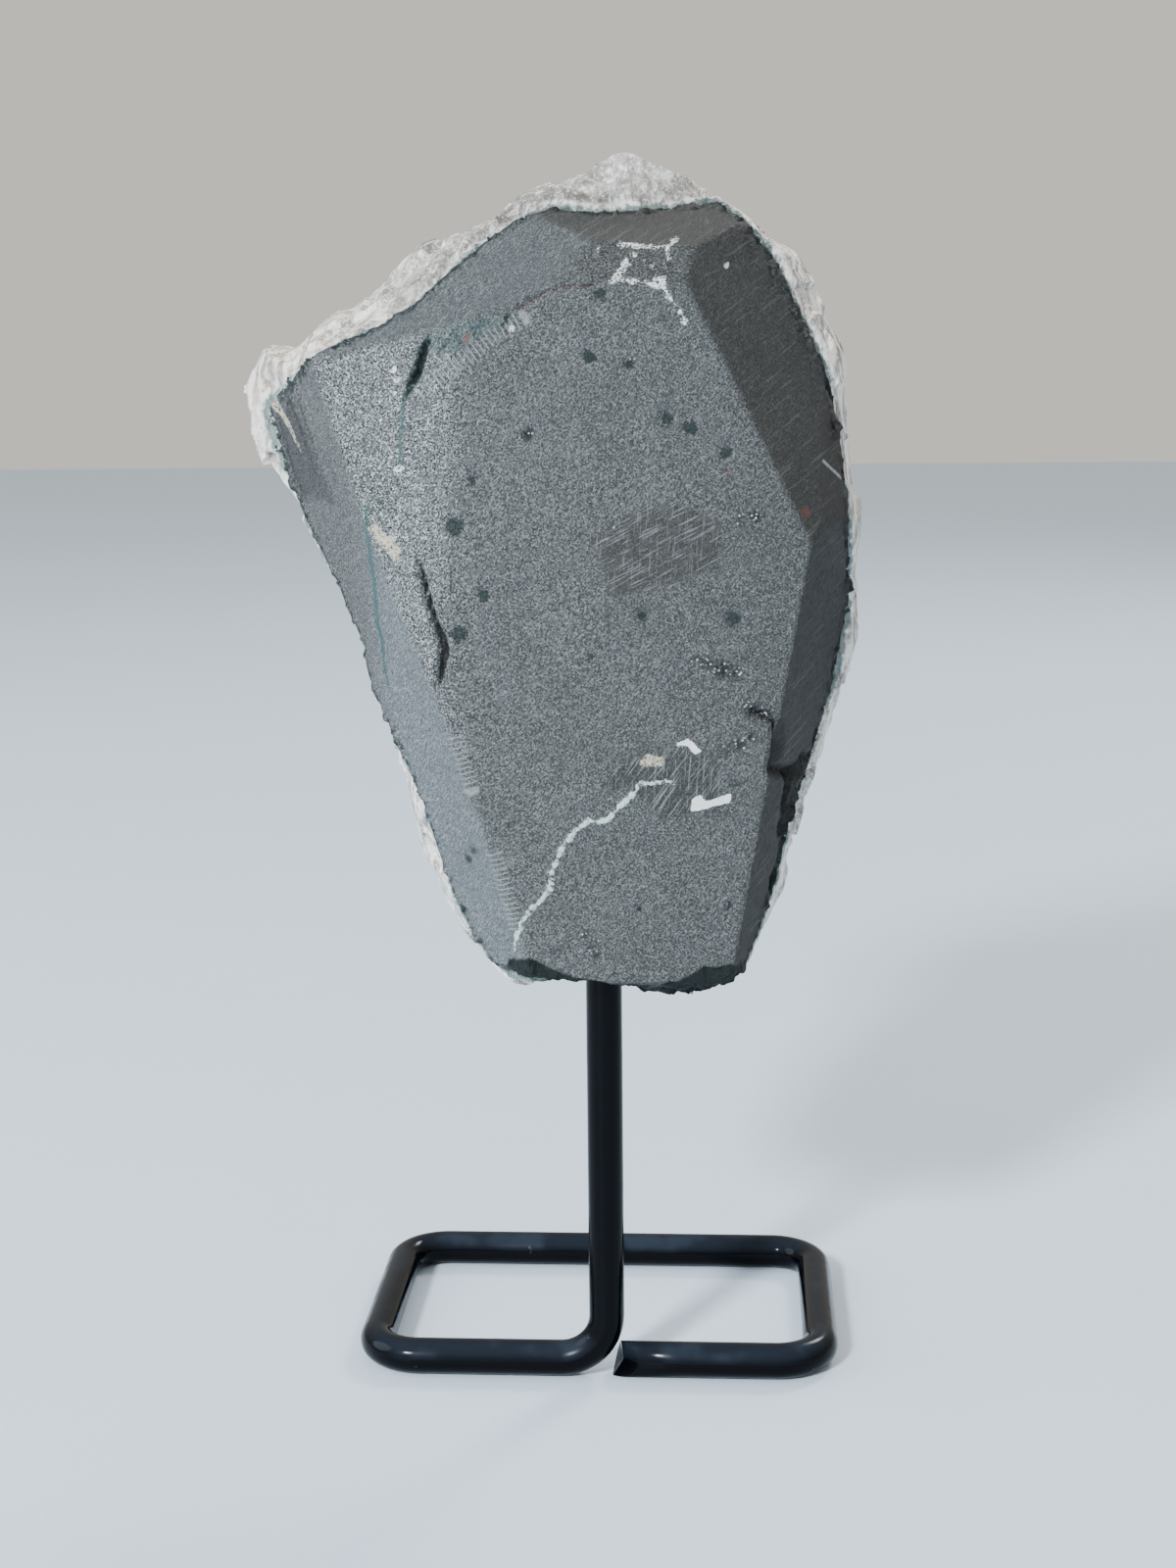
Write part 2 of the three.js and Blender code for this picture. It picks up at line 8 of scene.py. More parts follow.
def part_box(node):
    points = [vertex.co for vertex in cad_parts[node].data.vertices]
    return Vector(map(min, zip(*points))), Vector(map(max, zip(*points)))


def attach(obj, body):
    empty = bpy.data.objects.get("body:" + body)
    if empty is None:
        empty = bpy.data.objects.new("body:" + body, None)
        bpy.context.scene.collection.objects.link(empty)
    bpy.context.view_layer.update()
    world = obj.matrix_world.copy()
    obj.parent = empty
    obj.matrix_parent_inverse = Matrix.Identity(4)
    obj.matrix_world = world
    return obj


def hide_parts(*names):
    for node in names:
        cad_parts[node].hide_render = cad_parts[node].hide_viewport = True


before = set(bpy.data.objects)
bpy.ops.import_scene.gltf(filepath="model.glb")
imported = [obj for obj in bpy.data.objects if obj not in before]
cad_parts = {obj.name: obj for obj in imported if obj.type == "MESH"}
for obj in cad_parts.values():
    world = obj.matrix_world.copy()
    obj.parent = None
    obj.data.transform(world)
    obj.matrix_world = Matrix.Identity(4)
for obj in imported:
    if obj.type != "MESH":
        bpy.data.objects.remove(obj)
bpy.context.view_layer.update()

# The rod loop's middle: every place below is written in millimetres about it, z up from the table
rodLow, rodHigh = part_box("stand_rod")
loopMiddle = ((rodLow[0] + rodHigh[0]) / 2, (rodLow[1] + rodHigh[1]) / 2)
mm = 0.001


def toFrame(points):
    return np.asarray(points, float) * mm + np.array([loopMiddle[0], loopMiddle[1], 0.0])


def toLocal(points):
    return (np.asarray(points, float) - np.array([loopMiddle[0], loopMiddle[1], 0.0])) / mm


# Camera and light, as the photograph was taken

viewSetup = {
    "eye": (22.7, -402.6, 174.0),      # mm
    "turn": 3.49, "down": 10.62, "roll": -0.57,   # degrees
    "lens": 54.09, "sensor": 36.0,
}

lightSetup = {
    "aim": (-4, -10, 110),   # mm
    "keyFrom": (-0.40, -0.78, 0.50), "keyDistance": 1.5, "keySize": 0.22, "keyPower": 36.0,
    "keyColor": (0.93, 0.97, 1.0),
    "fillFrom": (-0.92, -0.10, 0.38), "fillDistance": 1.3, "fillSize": 0.9, "fillPower": 9.0,
    "fillColor": (0.84, 0.93, 1.0),
    "backFrom": (0.50, 0.80, 0.75), "backDistance": 1.4, "backSize": 0.35, "backPower": 9.0,
    "backColor": (1.0, 0.98, 0.95),
    "skyColor": (0.96, 0.94, 0.87), "skyStrength": 0.74,
}


def makeCamera(setup):
    turn, down, roll = (math.radians(setup[k]) for k in ("turn", "down", "roll"))
    ahead = Vector((-math.sin(turn) * math.cos(down), math.cos(turn) * math.cos(down), -math.sin(down)))
    level = Vector((math.cos(turn), math.sin(turn), 0))
    upright = level.cross(ahead)
    right = math.cos(roll) * level + math.sin(roll) * upright
    up = math.cos(roll) * upright - math.sin(roll) * level
    data = bpy.data.cameras.new("photoCamera")
    data.lens = setup["lens"]
    data.sensor_width = setup["sensor"]
    data.clip_start = 0.01
    camera = bpy.data.objects.new("photoCamera", data)
    bpy.context.collection.objects.link(camera)
    pose = Matrix((right, up, -ahead)).transposed().to_4x4()
    pose.translation = Vector(toFrame(setup["eye"]))
    camera.matrix_world = pose
    bpy.context.scene.camera = camera


def makeLamp(name, aim, fromDirection, distance, size, power, color):
    data = bpy.data.lights.new(name, "AREA")
    data.shape = "DISK"
    data.size = size
    data.energy = power
    data.color = color
    lamp = bpy.data.objects.new(name, data)
    direction = Vector(fromDirection).normalized()
    lamp.location = Vector(toFrame(aim)) + direction * distance
    lamp.rotation_euler = direction.to_track_quat("Z", "Y").to_euler()
    bpy.context.collection.objects.link(lamp)


def makeStudio(setup):
    for kind in ("key", "fill", "back"):
        makeLamp(kind + "Lamp", setup["aim"], *[setup[kind + part] for part in
                                                ("From", "Distance", "Size", "Power", "Color")])
    world = bpy.data.worlds.new("studioWorld")
    world.use_nodes = True
    background = world.node_tree.nodes["Background"]
    background.inputs["Color"].default_value = (*setup["skyColor"], 1)
    background.inputs["Strength"].default_value = setup["skyStrength"]
    bpy.context.scene.world = world


# Small helpers for shader trees

# Holds one node tree and adds nodes to it by type and values
class Shader:

    def __init__(self, tree):
        self.tree = tree

    def add(self, kind, settings=None, **values):
        node = self.tree.nodes.new(kind)
        for key, value in (settings or {}).items():
            setattr(node, key, value)
        for key, value in values.items():
            self.plug(node.inputs[key.replace("_", " ")], value)
        return node

    def plug(self, socket, value):
        if isinstance(value, bpy.types.NodeSocket):
            self.tree.links.new(value, socket)
        else:
            socket.default_value = value

    def math(self, operation, a, b=0.0, c=0.0, clamp=False):
        node = self.tree.nodes.new("ShaderNodeMath")
        node.operation = operation
        node.use_clamp = clamp
        for socket, value in zip(node.inputs, (a, b, c)):
            self.plug(socket, value)
        return node.outputs[0]

    def times(self, a, b):
        return self.math("MULTIPLY", a, b)

    def plus(self, a, b):
        return self.math("ADD", a, b)

    def minus(self, a, b):
        return self.math("SUBTRACT", a, b)

    def ramp(self, value, low, high, toLow=0.0, toHigh=1.0):
        node = self.tree.nodes.new("ShaderNodeMapRange")
        node.interpolation_type = "SMOOTHSTEP"
        for key, given in (("Value", value), ("From Min", low), ("From Max", high),
                           ("To Min", toLow), ("To Max", toHigh)):
            self.plug(node.inputs[key], given)
        return node.outputs["Result"]

    def mix(self, factor, a, b, blend="MIX"):
        node = self.tree.nodes.new("ShaderNodeMix")
        node.data_type = "RGBA"
        node.blend_type = blend
        self.plug(node.inputs[0], factor)
        for socket, value in ((node.inputs[6], a), (node.inputs[7], b)):
            self.plug(socket, (*value, 1.0) if isinstance(value, tuple) and len(value) == 3 else value)
        return node.outputs[2]

    def attribute(self, name):
        node = self.tree.nodes.new("ShaderNodeAttribute")
        node.attribute_name = name
        return node.outputs["Fac"]

    def place(self):
        return self.tree.nodes.new("ShaderNodeTexCoord").outputs["Object"]

    def noise(self, place, scale, detail=2.0, rough=0.5, distortion=0.0):
        node = self.add("ShaderNodeTexNoise", Scale=scale, Detail=detail, Roughness=rough,
                        Distortion=distortion, Vector=place)
        return node.outputs["Fac"]

    def cells(self, place, scale, output="Distance"):
        return self.add("ShaderNodeTexVoronoi", Scale=scale, Vector=place).outputs[output]

    def group(self, tree, **values):
        node = self.tree.nodes.new("ShaderNodeGroup")
        node.node_tree = tree
        for key, value in values.items():
            self.plug(node.inputs[key], value)
        return node.outputs

    def bump(self, height, strength, distance):
        node = self.add("ShaderNodeBump", Strength=strength, Distance=distance, Height=height)
        return node.outputs["Normal"]


def newGroup(name, inputs, outputs):
    tree = bpy.data.node_groups.new(name, "ShaderNodeTree")
    for key, kind, default in inputs:
        socket = tree.interface.new_socket(key, in_out="INPUT", socket_type=kind)
        if default is not None:
            socket.default_value = default
    for key, kind in outputs:
        tree.interface.new_socket(key, in_out="OUTPUT", socket_type=kind)
    given = tree.nodes.new("NodeGroupInput").outputs
    result = tree.nodes.new("NodeGroupOutput").inputs
    return tree, Shader(tree), given, result


def newMaterial(name, settings):
    material = bpy.data.materials.new(name)
    material.use_nodes = True
    shader = Shader(material.node_tree)
    surface = material.node_tree.nodes["Principled BSDF"]
    for key, value in settings.items():
        shader.plug(surface.inputs[key], value)
    return material, shader, surface


# Shared effects

# Light and dark mineral grains in a fine-grained rock
def grainGroup():
    tree, shader, given, result = newGroup(
        "mineralGrain",
        [("Place", "NodeSocketVector", None), ("Size", "NodeSocketFloat", 0.0006),
         ("Patchiness", "NodeSocketFloat", 0.5)],
        [("Light", "NodeSocketFloat"), ("Dark", "NodeSocketFloat"), ("Cloud", "NodeSocketFloat"),
         ("Height", "NodeSocketFloat")])
    scale = shader.math("DIVIDE", 1.0, given["Size"])
    fine = shader.noise(given["Place"], scale, 3.0, 0.65)
    coarse = shader.noise(given["Place"], shader.times(scale, 0.31), 2.0, 0.6)
    cloud = shader.noise(given["Place"], shader.times(scale, 0.035), 3.0, 0.6)
    light = shader.ramp(shader.plus(fine, shader.times(coarse, 0.35)), 0.66, 0.86)
    dark = shader.ramp(shader.minus(fine, shader.times(coarse, 0.3)), 0.36, 0.22)
    shader.plug(result["Light"], light)
    shader.plug(result["Dark"], dark)
    shader.plug(result["Cloud"], shader.ramp(cloud, shader.minus(0.5, given["Patchiness"]),
                                             shader.plus(0.5, given["Patchiness"])))
    shader.plug(result["Height"], shader.minus(fine, dark))
    return tree


# Fine straight scratches in one direction of the XZ plane
def scratchGroup():
    tree, shader, given, result = newGroup(
        "sawScratches",
        [("Place", "NodeSocketVector", None), ("Angle", "NodeSocketFloat", 0.0),
         ("Spacing", "NodeSocketFloat", 0.001), ("Stretch", "NodeSocketFloat", 14.0),
         ("Thinness", "NodeSocketFloat", 0.6)],
        [("Mask", "NodeSocketFloat"), ("Height", "NodeSocketFloat")])
    turn = shader.add("ShaderNodeVectorRotate", {"rotation_type": "Y_AXIS"},
                      Vector=given["Place"], Angle=given["Angle"])
    parts = shader.add("ShaderNodeSeparateXYZ", Vector=turn.outputs["Vector"])
    across = shader.math("DIVIDE", parts.outputs["Z"], given["Spacing"])
    along = shader.math("DIVIDE", parts.outputs["X"], shader.times(given["Spacing"], given["Stretch"]))
    stretched = shader.add("ShaderNodeCombineXYZ", X=along, Y=0.0, Z=across)
    lines = shader.noise(stretched.outputs["Vector"], 1.0, 2.0, 0.7)
    shader.plug(result["Mask"], shader.ramp(lines, given["Thinness"],
                                            shader.plus(given["Thinness"], 0.07)))
    shader.plug(result["Height"], lines)
    return tree


# Small chips and rubbed spots in paint
def wearGroup():
    tree, shader, given, result = newGroup(
        "paintWear",
        [("Place", "NodeSocketVector", None), ("Amount", "NodeSocketFloat", 0.2),
         ("Size", "NodeSocketFloat", 0.001)],
        [("Chips", "NodeSocketFloat"), ("Scuffs", "NodeSocketFloat")])
    scale = shader.math("DIVIDE", 1.0, given["Size"])
    spots = shader.noise(given["Place"], scale, 4.0, 0.7)
    broad = shader.noise(given["Place"], shader.times(scale, 0.12), 2.0, 0.5)
    level = shader.minus(0.93, shader.times(given["Amount"], 0.45))
    mixed = shader.plus(shader.times(spots, 0.75), shader.times(broad, 0.42))
    shader.plug(result["Chips"], shader.ramp(mixed, level, shader.plus(level, 0.025)))
    shader.plug(result["Scuffs"], shader.ramp(broad, 0.42, 0.68))
    return tree


sharedEffects = {"grain": grainGroup(), "scratch": scratchGroup(), "wear": wearGroup()}


# Mesh helpers

def meshObject(name, points, faces, smooth=False):
    mesh = bpy.data.meshes.new(name)
    mesh.from_pydata([tuple(p) for p in points], [], faces)
    mesh.update()
    piece = bpy.data.objects.new(name, mesh)
    bpy.context.collection.objects.link(piece)
    mesh.polygons.foreach_set("use_smooth", [smooth] * len(mesh.polygons))
    return piece


# The CAD node's triangles as one joined mesh
def mergedCopy(node, name):
    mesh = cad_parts[node].data.copy()
    mesh.name = name
    work = bmesh.new()
    work.from_mesh(mesh)
    work.transform(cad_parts[node].matrix_world)
    bmesh.ops.remove_doubles(work, verts=work.verts, dist=1e-6)
    work.to_mesh(mesh)
    work.free()
    mesh.materials.clear()
    piece = bpy.data.objects.new(name, mesh)
    bpy.context.collection.objects.link(piece)
    return piece


# Turns the evaluated object into its own plain mesh and drops the modifiers
def applied(piece):
    graph = bpy.context.evaluated_depsgraph_get()
    mesh = bpy.data.meshes.new_from_object(piece.evaluated_get(graph), depsgraph=graph)
    old = piece.data
    piece.modifiers.clear()
    piece.data = mesh
    bpy.data.meshes.remove(old)
    return piece


def remeshed(piece, voxel):
    modifier = piece.modifiers.new("remesh", "REMESH")
    modifier.mode = "VOXEL"
    modifier.voxel_size = voxel
    return applied(piece)


def readPoints(piece):
    points = np.empty(len(piece.data.vertices) * 3)
    piece.data.vertices.foreach_get("co", points)
    return points.reshape(-1, 3)


def readNormals(piece):
    normals = np.empty(len(piece.data.vertices) * 3)
    piece.data.vertices.foreach_get("normal", normals)
    return normals.reshape(-1, 3)


def writePoints(piece, points):
    piece.data.vertices.foreach_set("co", np.ascontiguousarray(points).ravel())
    piece.data.update()


# Per-point values that the materials read
def writeField(piece, name, values):
    field = piece.data.attributes.new(name, "FLOAT", "POINT")
    field.data.foreach_set("value", np.ascontiguousarray(values, dtype=np.float32))


# Search tree over the faces of one solid of the part
def faceTree(name):
    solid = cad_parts[name].data
    return bvhtree.BVHTree.FromPolygons([v.co[:] for v in solid.vertices],
                                        [p.vertices[:] for p in solid.polygons])


# Distance from each point, in the frame, to the nearest face of a solid, mm
def surfaceDistance(name, points):
    tree = faceTree(name)
    return np.array([tree.find_nearest(point)[3] for point in points]) / mm


# Distance from each point, in the frame, to the nearest corner of a solid's faces, mm
def cornerDistance(name, points):
    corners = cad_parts[name].data.vertices
    tree = kdtree.KDTree(len(corners))
    for i, corner in enumerate(corners):
        tree.insert(corner.co, i)
    tree.balance()
    return np.array([tree.find(point)[2] for point in points]) / mm


# Rises from 0 at the start to 1 at the end of the reach
def fade(values, start, reach):
    return np.clip((values - start) / reach, 0, 1)


# Distance from each point to a line of straight runs, and how far along the line that is
def pathDistance(points, path):
    path = np.asarray(path, float)
    best = np.full(len(points), 1e9)
    along = np.zeros(len(points))
    travelled = 0.0
    for start, end in zip(path[:-1], path[1:]):
        run = end - start
        length = np.linalg.norm(run)
        share = np.clip(((points - start) @ run) / length ** 2, 0, 1)
        gap = np.linalg.norm(points - (start + share[:, None] * run), axis=1)
        nearer = gap < best
        best[nearer] = gap[nearer]
        along[nearer] = travelled + share[nearer] * length
        travelled += length
    return best, along


# Distance to the rim of the nearest round spot; negative inside it
def spotDistance(points, spots):
    best = np.full(len(points), 1e9)
    for x, z, radius in spots:
        best = np.minimum(best, np.hypot(points[:, 0] - x, points[:, 1] - z) - radius)
    return best


# Signed distance to a closed outline; negative inside it
def areaDistance(points, outline):
    outline = np.asarray(outline, float)
    closed = np.vstack([outline, outline[:1]])
    gap, _ = pathDistance(points, closed)
    inside = np.zeros(len(points), bool)
    for (x0, z0), (x1, z1) in zip(closed[:-1], closed[1:]):
        crosses = (z0 > points[:, 1]) != (z1 > points[:, 1])
        edgeX = x0 + (points[:, 1] - z0) * (x1 - x0) / (z1 - z0 if z1 != z0 else 1e-9)
        inside ^= crosses & (points[:, 0] < edgeX)
    return np.where(inside, -gap, gap)


# Smooth noise from -1 to 1 at each point; scale is the size of its largest waves
def waveNoise(points, scale, seed, octaves=3):
    offset = Vector((seed * 7.31, seed * 3.17, seed * 5.77))
    values = np.empty(len(points))
    for i, point in enumerate(points):
        values[i] = noise.fractal(Vector(point) / scale + offset, 0.6, 2.1, octaves)
    return values


# Broken facets: each point takes the plane of its nearest seed, which leans at random
def facetNoise(points, size, seed, tilt):
    random = np.random.default_rng(seed)
    low = points.min(axis=0) - size
    high = points.max(axis=0) + size
    shape = np.ceil((high - low) / size).astype(int)
    grid = np.stack(np.meshgrid(*[np.arange(n) for n in shape], indexing="ij"), -1).reshape(-1, 3)
    seeds = low + (grid + random.random(grid.shape)) * size
    lean = random.normal(size=seeds.shape) * tilt
    lift = random.normal(size=len(seeds)) * 0.5 * tilt * size
    tree = kdtree.KDTree(len(seeds))
    for i, point in enumerate(seeds):
        tree.insert(point, i)
    tree.balance()
    nearest = np.array([tree.find(point)[1] for point in points])
    return lift[nearest] + np.einsum("ij,ij->i", points - seeds[nearest], lean[nearest])


def finishPiece(piece, slotName, material, *nodes):
    piece.data.materials.clear()
    piece.data.materials.append(material)
    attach(piece, "root")
    if nodes:
        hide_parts(*nodes)
    return piece


# Basalt

basaltSetup = {
    "voxel": 0.00060,
    "roughEdge": 0.75, "edgeReach": 3.2,   # mm, height and width of the broken lip beside the crust
    "underside": 0.9, "lowReach": 1.2,   # mm, roughness of the broken underside, and where it is full
    "ground": 0.05,           # mm, unevenness of the ground faces
    "grainSize": 0.00028, "faceBlend": 0.3,   # m; mm of depth over which neighbouring faces blend
    "topCrack": (1.0, 0.7), "rightLedge": (1.6, 1.7), "rightBreak": (1.7, 1.2),   # half width, depth, mm
    "hollow": 1.3, "ledge": 1.6, "pit": 0.25, "sparkle": 0.5,   # depth, mm
    "ledgeRidge": 0.35, "roughPatch": 0.5, "veinHeight": 0.12,   # height, mm
    "ridgeOffset": 1.1,   # mm from the ledge to the ridge beside it
    "residueWidth": 0.36,   # mm, half the width of the residue's lines
    "shadeFrom": -30, "shadeOver": 75,   # mm of X over which painted shade darkens the stone to the right, away from the light from the left
    "tickPitch": 7.4,   # radians for each mm along a ladder of saw ticks
    # deep is the dark of the rock's grains, strokes and streaks, and also the painted shade in its grooves
    # and toward its right side
    "base": (0.092, 0.104, 0.109), "pale": (0.34, 0.365, 0.365), "deep": (0.014, 0.0145, 0.015),
    "brown": (0.070, 0.062, 0.058), "blue": (0.072, 0.086, 0.102), "green": (0.003, 0.007, 0.007),
    "teal": (0.035, 0.085, 0.082),
    "white": (0.76, 0.80, 0.80), "veinTint": (0.52, 0.62, 0.60), "rust": (0.16, 0.045, 0.030),
    "cream": (0.56, 0.51, 0.40),
}

# The ground faces: a point on the large flat face's plane where each starts, the direction in the XZ
# plane in which it falls away and its slope, in degrees, and how it was left; the tone is partly the
# face's own colour and partly painted light and shade, lighter on faces turned to the left and darker
# on faces turned to the right
placeKeys = ("x", "z", "direction", "slope")
finishAndShadeKeys = ("tone", "brown", "blue", "lines", "speck")
groundFaces = [dict(zip(placeKeys + finishAndShadeKeys, row)) for row in (
    (0, 130, 0, 0, 0.90, 0.12, 0.0, 0.0, 0.35),
    (-21, 150, 178, 11, 1.14, 0.05, 0.2, 0.0, 1),
    (-16, 178, 111, 50, 0.88, 0.0, 0.6, 0.2, 0.25),
    (4, 182.7, 91, 38, 0.66, 0.1, 0.1, 0.0, 0.5),
    (8, 186.9, 88, 66, 0.56, 0.35, 0.0, 0.2, 0.3),
    (20.6, 173.5, 26, 49, 0.46, 0.35, 0.0, 0.2, 0.5),
    (32.4, 159.8, 13.3, 65.5, 0.34, 0.7, 0.0, 0.2, 0.5),
    (35.2, 138, -6, 64, 0.27, 0.8, 0.0, 0.2, 0.5),
    (26.6, 92, -10, 68, 0.34, 0.7, 0.0, 0.2, 0.5),
    (-20.9, 110, 197.8, 49, 1.28, 0.0, 0.4, 0.2, 0.15),
    (-29.3, 132, 194.6, 54.3, 0.86, 0.3, 0.1, 0.3, 0.45),
    (4, 71.9, 270, 61, 0.45, 0.0, 0.0, 0.0, 0.2),
    (-13.6, 76.0, 238, 56, 0.55, 0.0, 0.0, 0.0, 0.2),
)]

# Marks on the ground faces, in the XZ plane, mm
basaltMarks = {
    "vein": [(13.8, 105.1), (8.8, 104.9), (7.2, 102.9), (4.9, 100.8), (3.0, 98.7), (0.2, 98.7),
             (-2.2, 96.8), (-4.3, 93.9), (-5.9, 89.8), (-5.9, 87.9), (-7.4, 85.8), (-9.5, 83.8),
             (-10.6, 82.2), (-11.6, 79.7), (-12.1, 76.5)],
    "tealVein": [(-34.5, 148.7), (-34.6, 145.5), (-34.4, 140.8), (-34.0, 136.2), (-34.1, 130.0),
                 (-33.4, 126.9), (-33.3, 121.4), (-32.8, 119.0)],
    "residueLines": [[(5.4, 188.8), (12.9, 188.3), (13.4, 186.7)], [(6.6, 183.4), (11.3, 182.6)],
                     [(11.3, 182.9), (13.0, 181.4), (15.9, 176.6)], [(13.6, 188.9), (14.5, 189.6)]],
    "residuePatches": [[(4.0, 182.6), (5.6, 182.9), (7.6, 185.8), (6.8, 187.2), (5.6, 185.2)],
                       [(10.8, 183.9), (12.9, 184.1), (13.0, 181.9), (11.2, 182.2)]],
    "whitePatches": [[(13.8, 110.9), (16.3, 112.2), (18.6, 109.9), (17.2, 109.6), (15.9, 110.9)],
                     [(16.4, 100.1), (17.0, 102.7), (18.3, 103.0), (18.7, 101.9), (22.8, 103.3),
                      (23.2, 101.9), (19.7, 101.0)]],
    "residueSpots": [(2.4, 188.0, 0.45), (9.3, 186.5, 0.35), (10.8, 185.6, 0.3), (12.6, 185.6, 0.25),
                     (8.2, 187.3, 0.3), (22.0, 185.6, 0.45), (-10.9, 176.2, 0.45), (4.9, 145.2, 0.35),
                     (15.2, 141.6, 0.3), (-29.4, 170.1, 0.5), (-29.2, 168.6, 0.55), (-29.5, 166.6, 0.5),
                     (-29.0, 154.7, 0.75), (-29.2, 156.6, 0.4), (-31.9, 165.0, 0.3), (-31.9, 162.2, 0.25)],
    "greenSpots": [(1.2, 171.8, 1.25), (7.1, 170.6, 1.0), (12.9, 162.3, 1.15), (16.7, 160.8, 1.2),
                   (22.3, 157.0, 1.0), (-17.4, 153.0, 1.0), (-20.5, 145.7, 1.7), (-16.0, 135.0, 1.2),
                   (-20.0, 128.7, 1.5), (-0.6, 144.4, 0.8), (9.0, 131.7, 1.1), (23.3, 131.1, 1.3),
                   (0.9, 124.9, 0.7), (8.2, 84.4, 0.7), (22.9, 84.8, 0.7), (-18.8, 93.0, 0.8),
                   (-20.0, 91.1, 0.9), (-8.4, 160.1, 0.9), (2.8, 181.2, 1.1), (24.0, 104.8, 0.6)],
    "rustSpots": [(34.5, 147.7, 1.2), (22.8, 154.3, 0.9), (-18.0, 174.8, 1.2), (-1.0, 182.0, 0.7)],
    "creamSpots": [(-33.4, 145.2, 0.7), (-32.3, 144.0, 1.0), (-31.0, 143.2, 1.2), (-29.9, 141.9, 1.0),
                   (-29.8, 140.6, 0.5), (9.0, 108.3, 0.5), (10.3, 108.6, 1.0), (11.6, 108.3, 0.6)],
    "sparkleSpots": [(17.4, 124.9, 1.0), (19.2, 124.2, 1.6), (21.4, 123.2, 1.9), (23.6, 122.3, 1.7),
                     (25.8, 116.7, 1.5), (28.2, 116.2, 1.8), (21.9, 110.2, 1.3), (24.2, 111.0, 1.6),
                     (26.4, 112.3, 1.3), (24.2, 146.9, 1.3), (26.6, 147.1, 1.4), (-0.4, 80.4, 1.2),
                     (0.6, 78.2, 1.4), (1.4, 76.6, 1.0), (-8.6, 159.9, 1.3), (7.4, 170.5, 1.2)],
    "crosshatch": [(0.6, 144.0), (8.0, 148.6), (14.4, 149.8), (21.3, 146.6), (21.9, 139.6),
                   (14.0, 136.0), (4.4, 134.5)],
    "lowerHatch": [(0.4, 101.4), (4.0, 106.4), (8.1, 110.5), (14.0, 110.8), (21.3, 110.0), (21.6, 99.8),
                   (12.0, 99.0), (6.0, 104.0)],
    "ladders": [[(-21.0, 112.4), (-18.6, 104.0)], [(-15.0, 93.4), (-11.6, 80.6)],
                [(-25.6, 166.4), (-20.4, 170.4), (-13.6, 175.4), (-9.4, 177.6)]],
    "sawLine": [(-21.3, 142.9), (-21.1, 136.2), (-21.7, 129.9)],
    "topCrack": [(-9.6, 179.3), (-8.1, 180.1), (-6.3, 181.4), (-3.2, 182.4), (-0.5, 182.5), (1.9, 183.0)],
    "hollow": [(-23.8, 175.2), (-24.1, 174.4), (-25.0, 172.3), (-26.0, 169.5), (-27.0, 167.4),
               (-28.0, 165.3)],
    "hollowWidths": [0.2, 0.5, 0.8, 0.9, 0.55, 0.0],   # half the width at each point
    "roughPatch": [(-23.6, 175.6), (-19.6, 177.2), (-15.4, 178.0), (-11.0, 178.2), (-12.2, 176.4),
                   (-16.6, 174.4), (-20.0, 172.2), (-22.6, 172.6)],
    "hollowTail": [(-28.0, 165.5), (-28.5, 162.9), (-28.7, 159.9), (-28.9, 155.3)],
    "leftLedge": [(-26.3, 140.2), (-25.4, 136.9), (-24.5, 132.9), (-23.6, 130.0), (-22.7, 128.1),
                  (-22.4, 126.2), (-22.9, 123.7), (-23.2, 121.0)],
    "ledgeWidths": [0.15, 0.35, 0.35, 0.45, 0.5, 0.75, 0.5, 0.2],
    "creamStreak": [(-54.4, 169.3), (-53.2, 167.1), (-51.9, 164.8), (-50.2, 162.9), (-48.3, 159.7),
                    (-46.7, 156.5)],
    "creamWidths": [1.5, 1.5, 1.2, 0.6, 0.35, 0.1],
    "darkStreaks": [[(-48.8, 166.1), (-47.0, 161.9), (-45.4, 157.0), (-44.1, 153.5)],
                    [(-46.5, 165.3), (-45.1, 161.2), (-43.3, 155.6), (-42.0, 151.4)],
                    [(-51.1, 161.9), (-49.8, 157.1), (-49.0, 153.9), (-47.1, 149.4)],
                    [(-53.0, 168.8), (-52.4, 166.4), (-51.8, 163.7)]],
    "darkStrip": [(-49.5, 166.6), (-46.9, 165.8), (-45.2, 161.9), (-43.3, 156.3), (-41.0, 151.4),
                  (-39.3, 148.4), (-48.9, 148.5), (-50.3, 153.6), (-52.0, 160.5), (-52.6, 162.8),
                  (-50.5, 163.3)],
    "rightLedge": [(26.7, 116.3), (29.8, 114.7), (30.3, 110.8), (29.5, 107.2), (31.4, 106.0), (33.3, 104.4)],
    "rightBreak": [(35.0, 106.6), (33.0, 104.4), (32.2, 99.2), (31.8, 96.2), (32.1, 90.8), (30.6, 87.0),
                   (29.8, 83.1)],
    "paleCrack": [(37.4, 155.3), (39.0, 153.7), (40.6, 152.2)],
}

# Lower edge of the stone as it looks from behind, where a point's height is read against the plane of
# the large flat face: where the broken rock begins, and the lowest height of the basalt and the crust
lowerEdge = {
    "plane": -34.0, "slant": 0.187,   # mm of Y; rise of the line of sight for each mm of depth
    "mostLift": 6.0, "pastEnd": 2.0,   # mm
    "broken": [(-14.0, 74.6), (-13.1, 76.1), (-9.8, 76.6), (-7.4, 75.4), (-5.2, 74.2), (-0.3, 73.0),
               (5.5, 71.9), (11.3, 71.8), (15.5, 73.4), (18.8, 75.2), (24.5, 75.5), (27.8, 78.2)],
    "basalt": [(-14.5, 74.6), (-9.6, 72.9), (-0.6, 72.4), (6.3, 71.6), (9.8, 70.3), (17.4, 70.3),
               (21.4, 71.9), (27.0, 74.4), (29.5, 77.0)],
    "crust": [(-16.0, 60.0), (-13.0, 66.0), (-9.9, 71.0), (-5.0, 72.2), (-0.9, 72.7), (6.3, 72.1),
              (9.8, 70.8), (17.4, 70.8), (21.4, 72.4), (27.0, 75.0), (30.0, 76.5)],
}


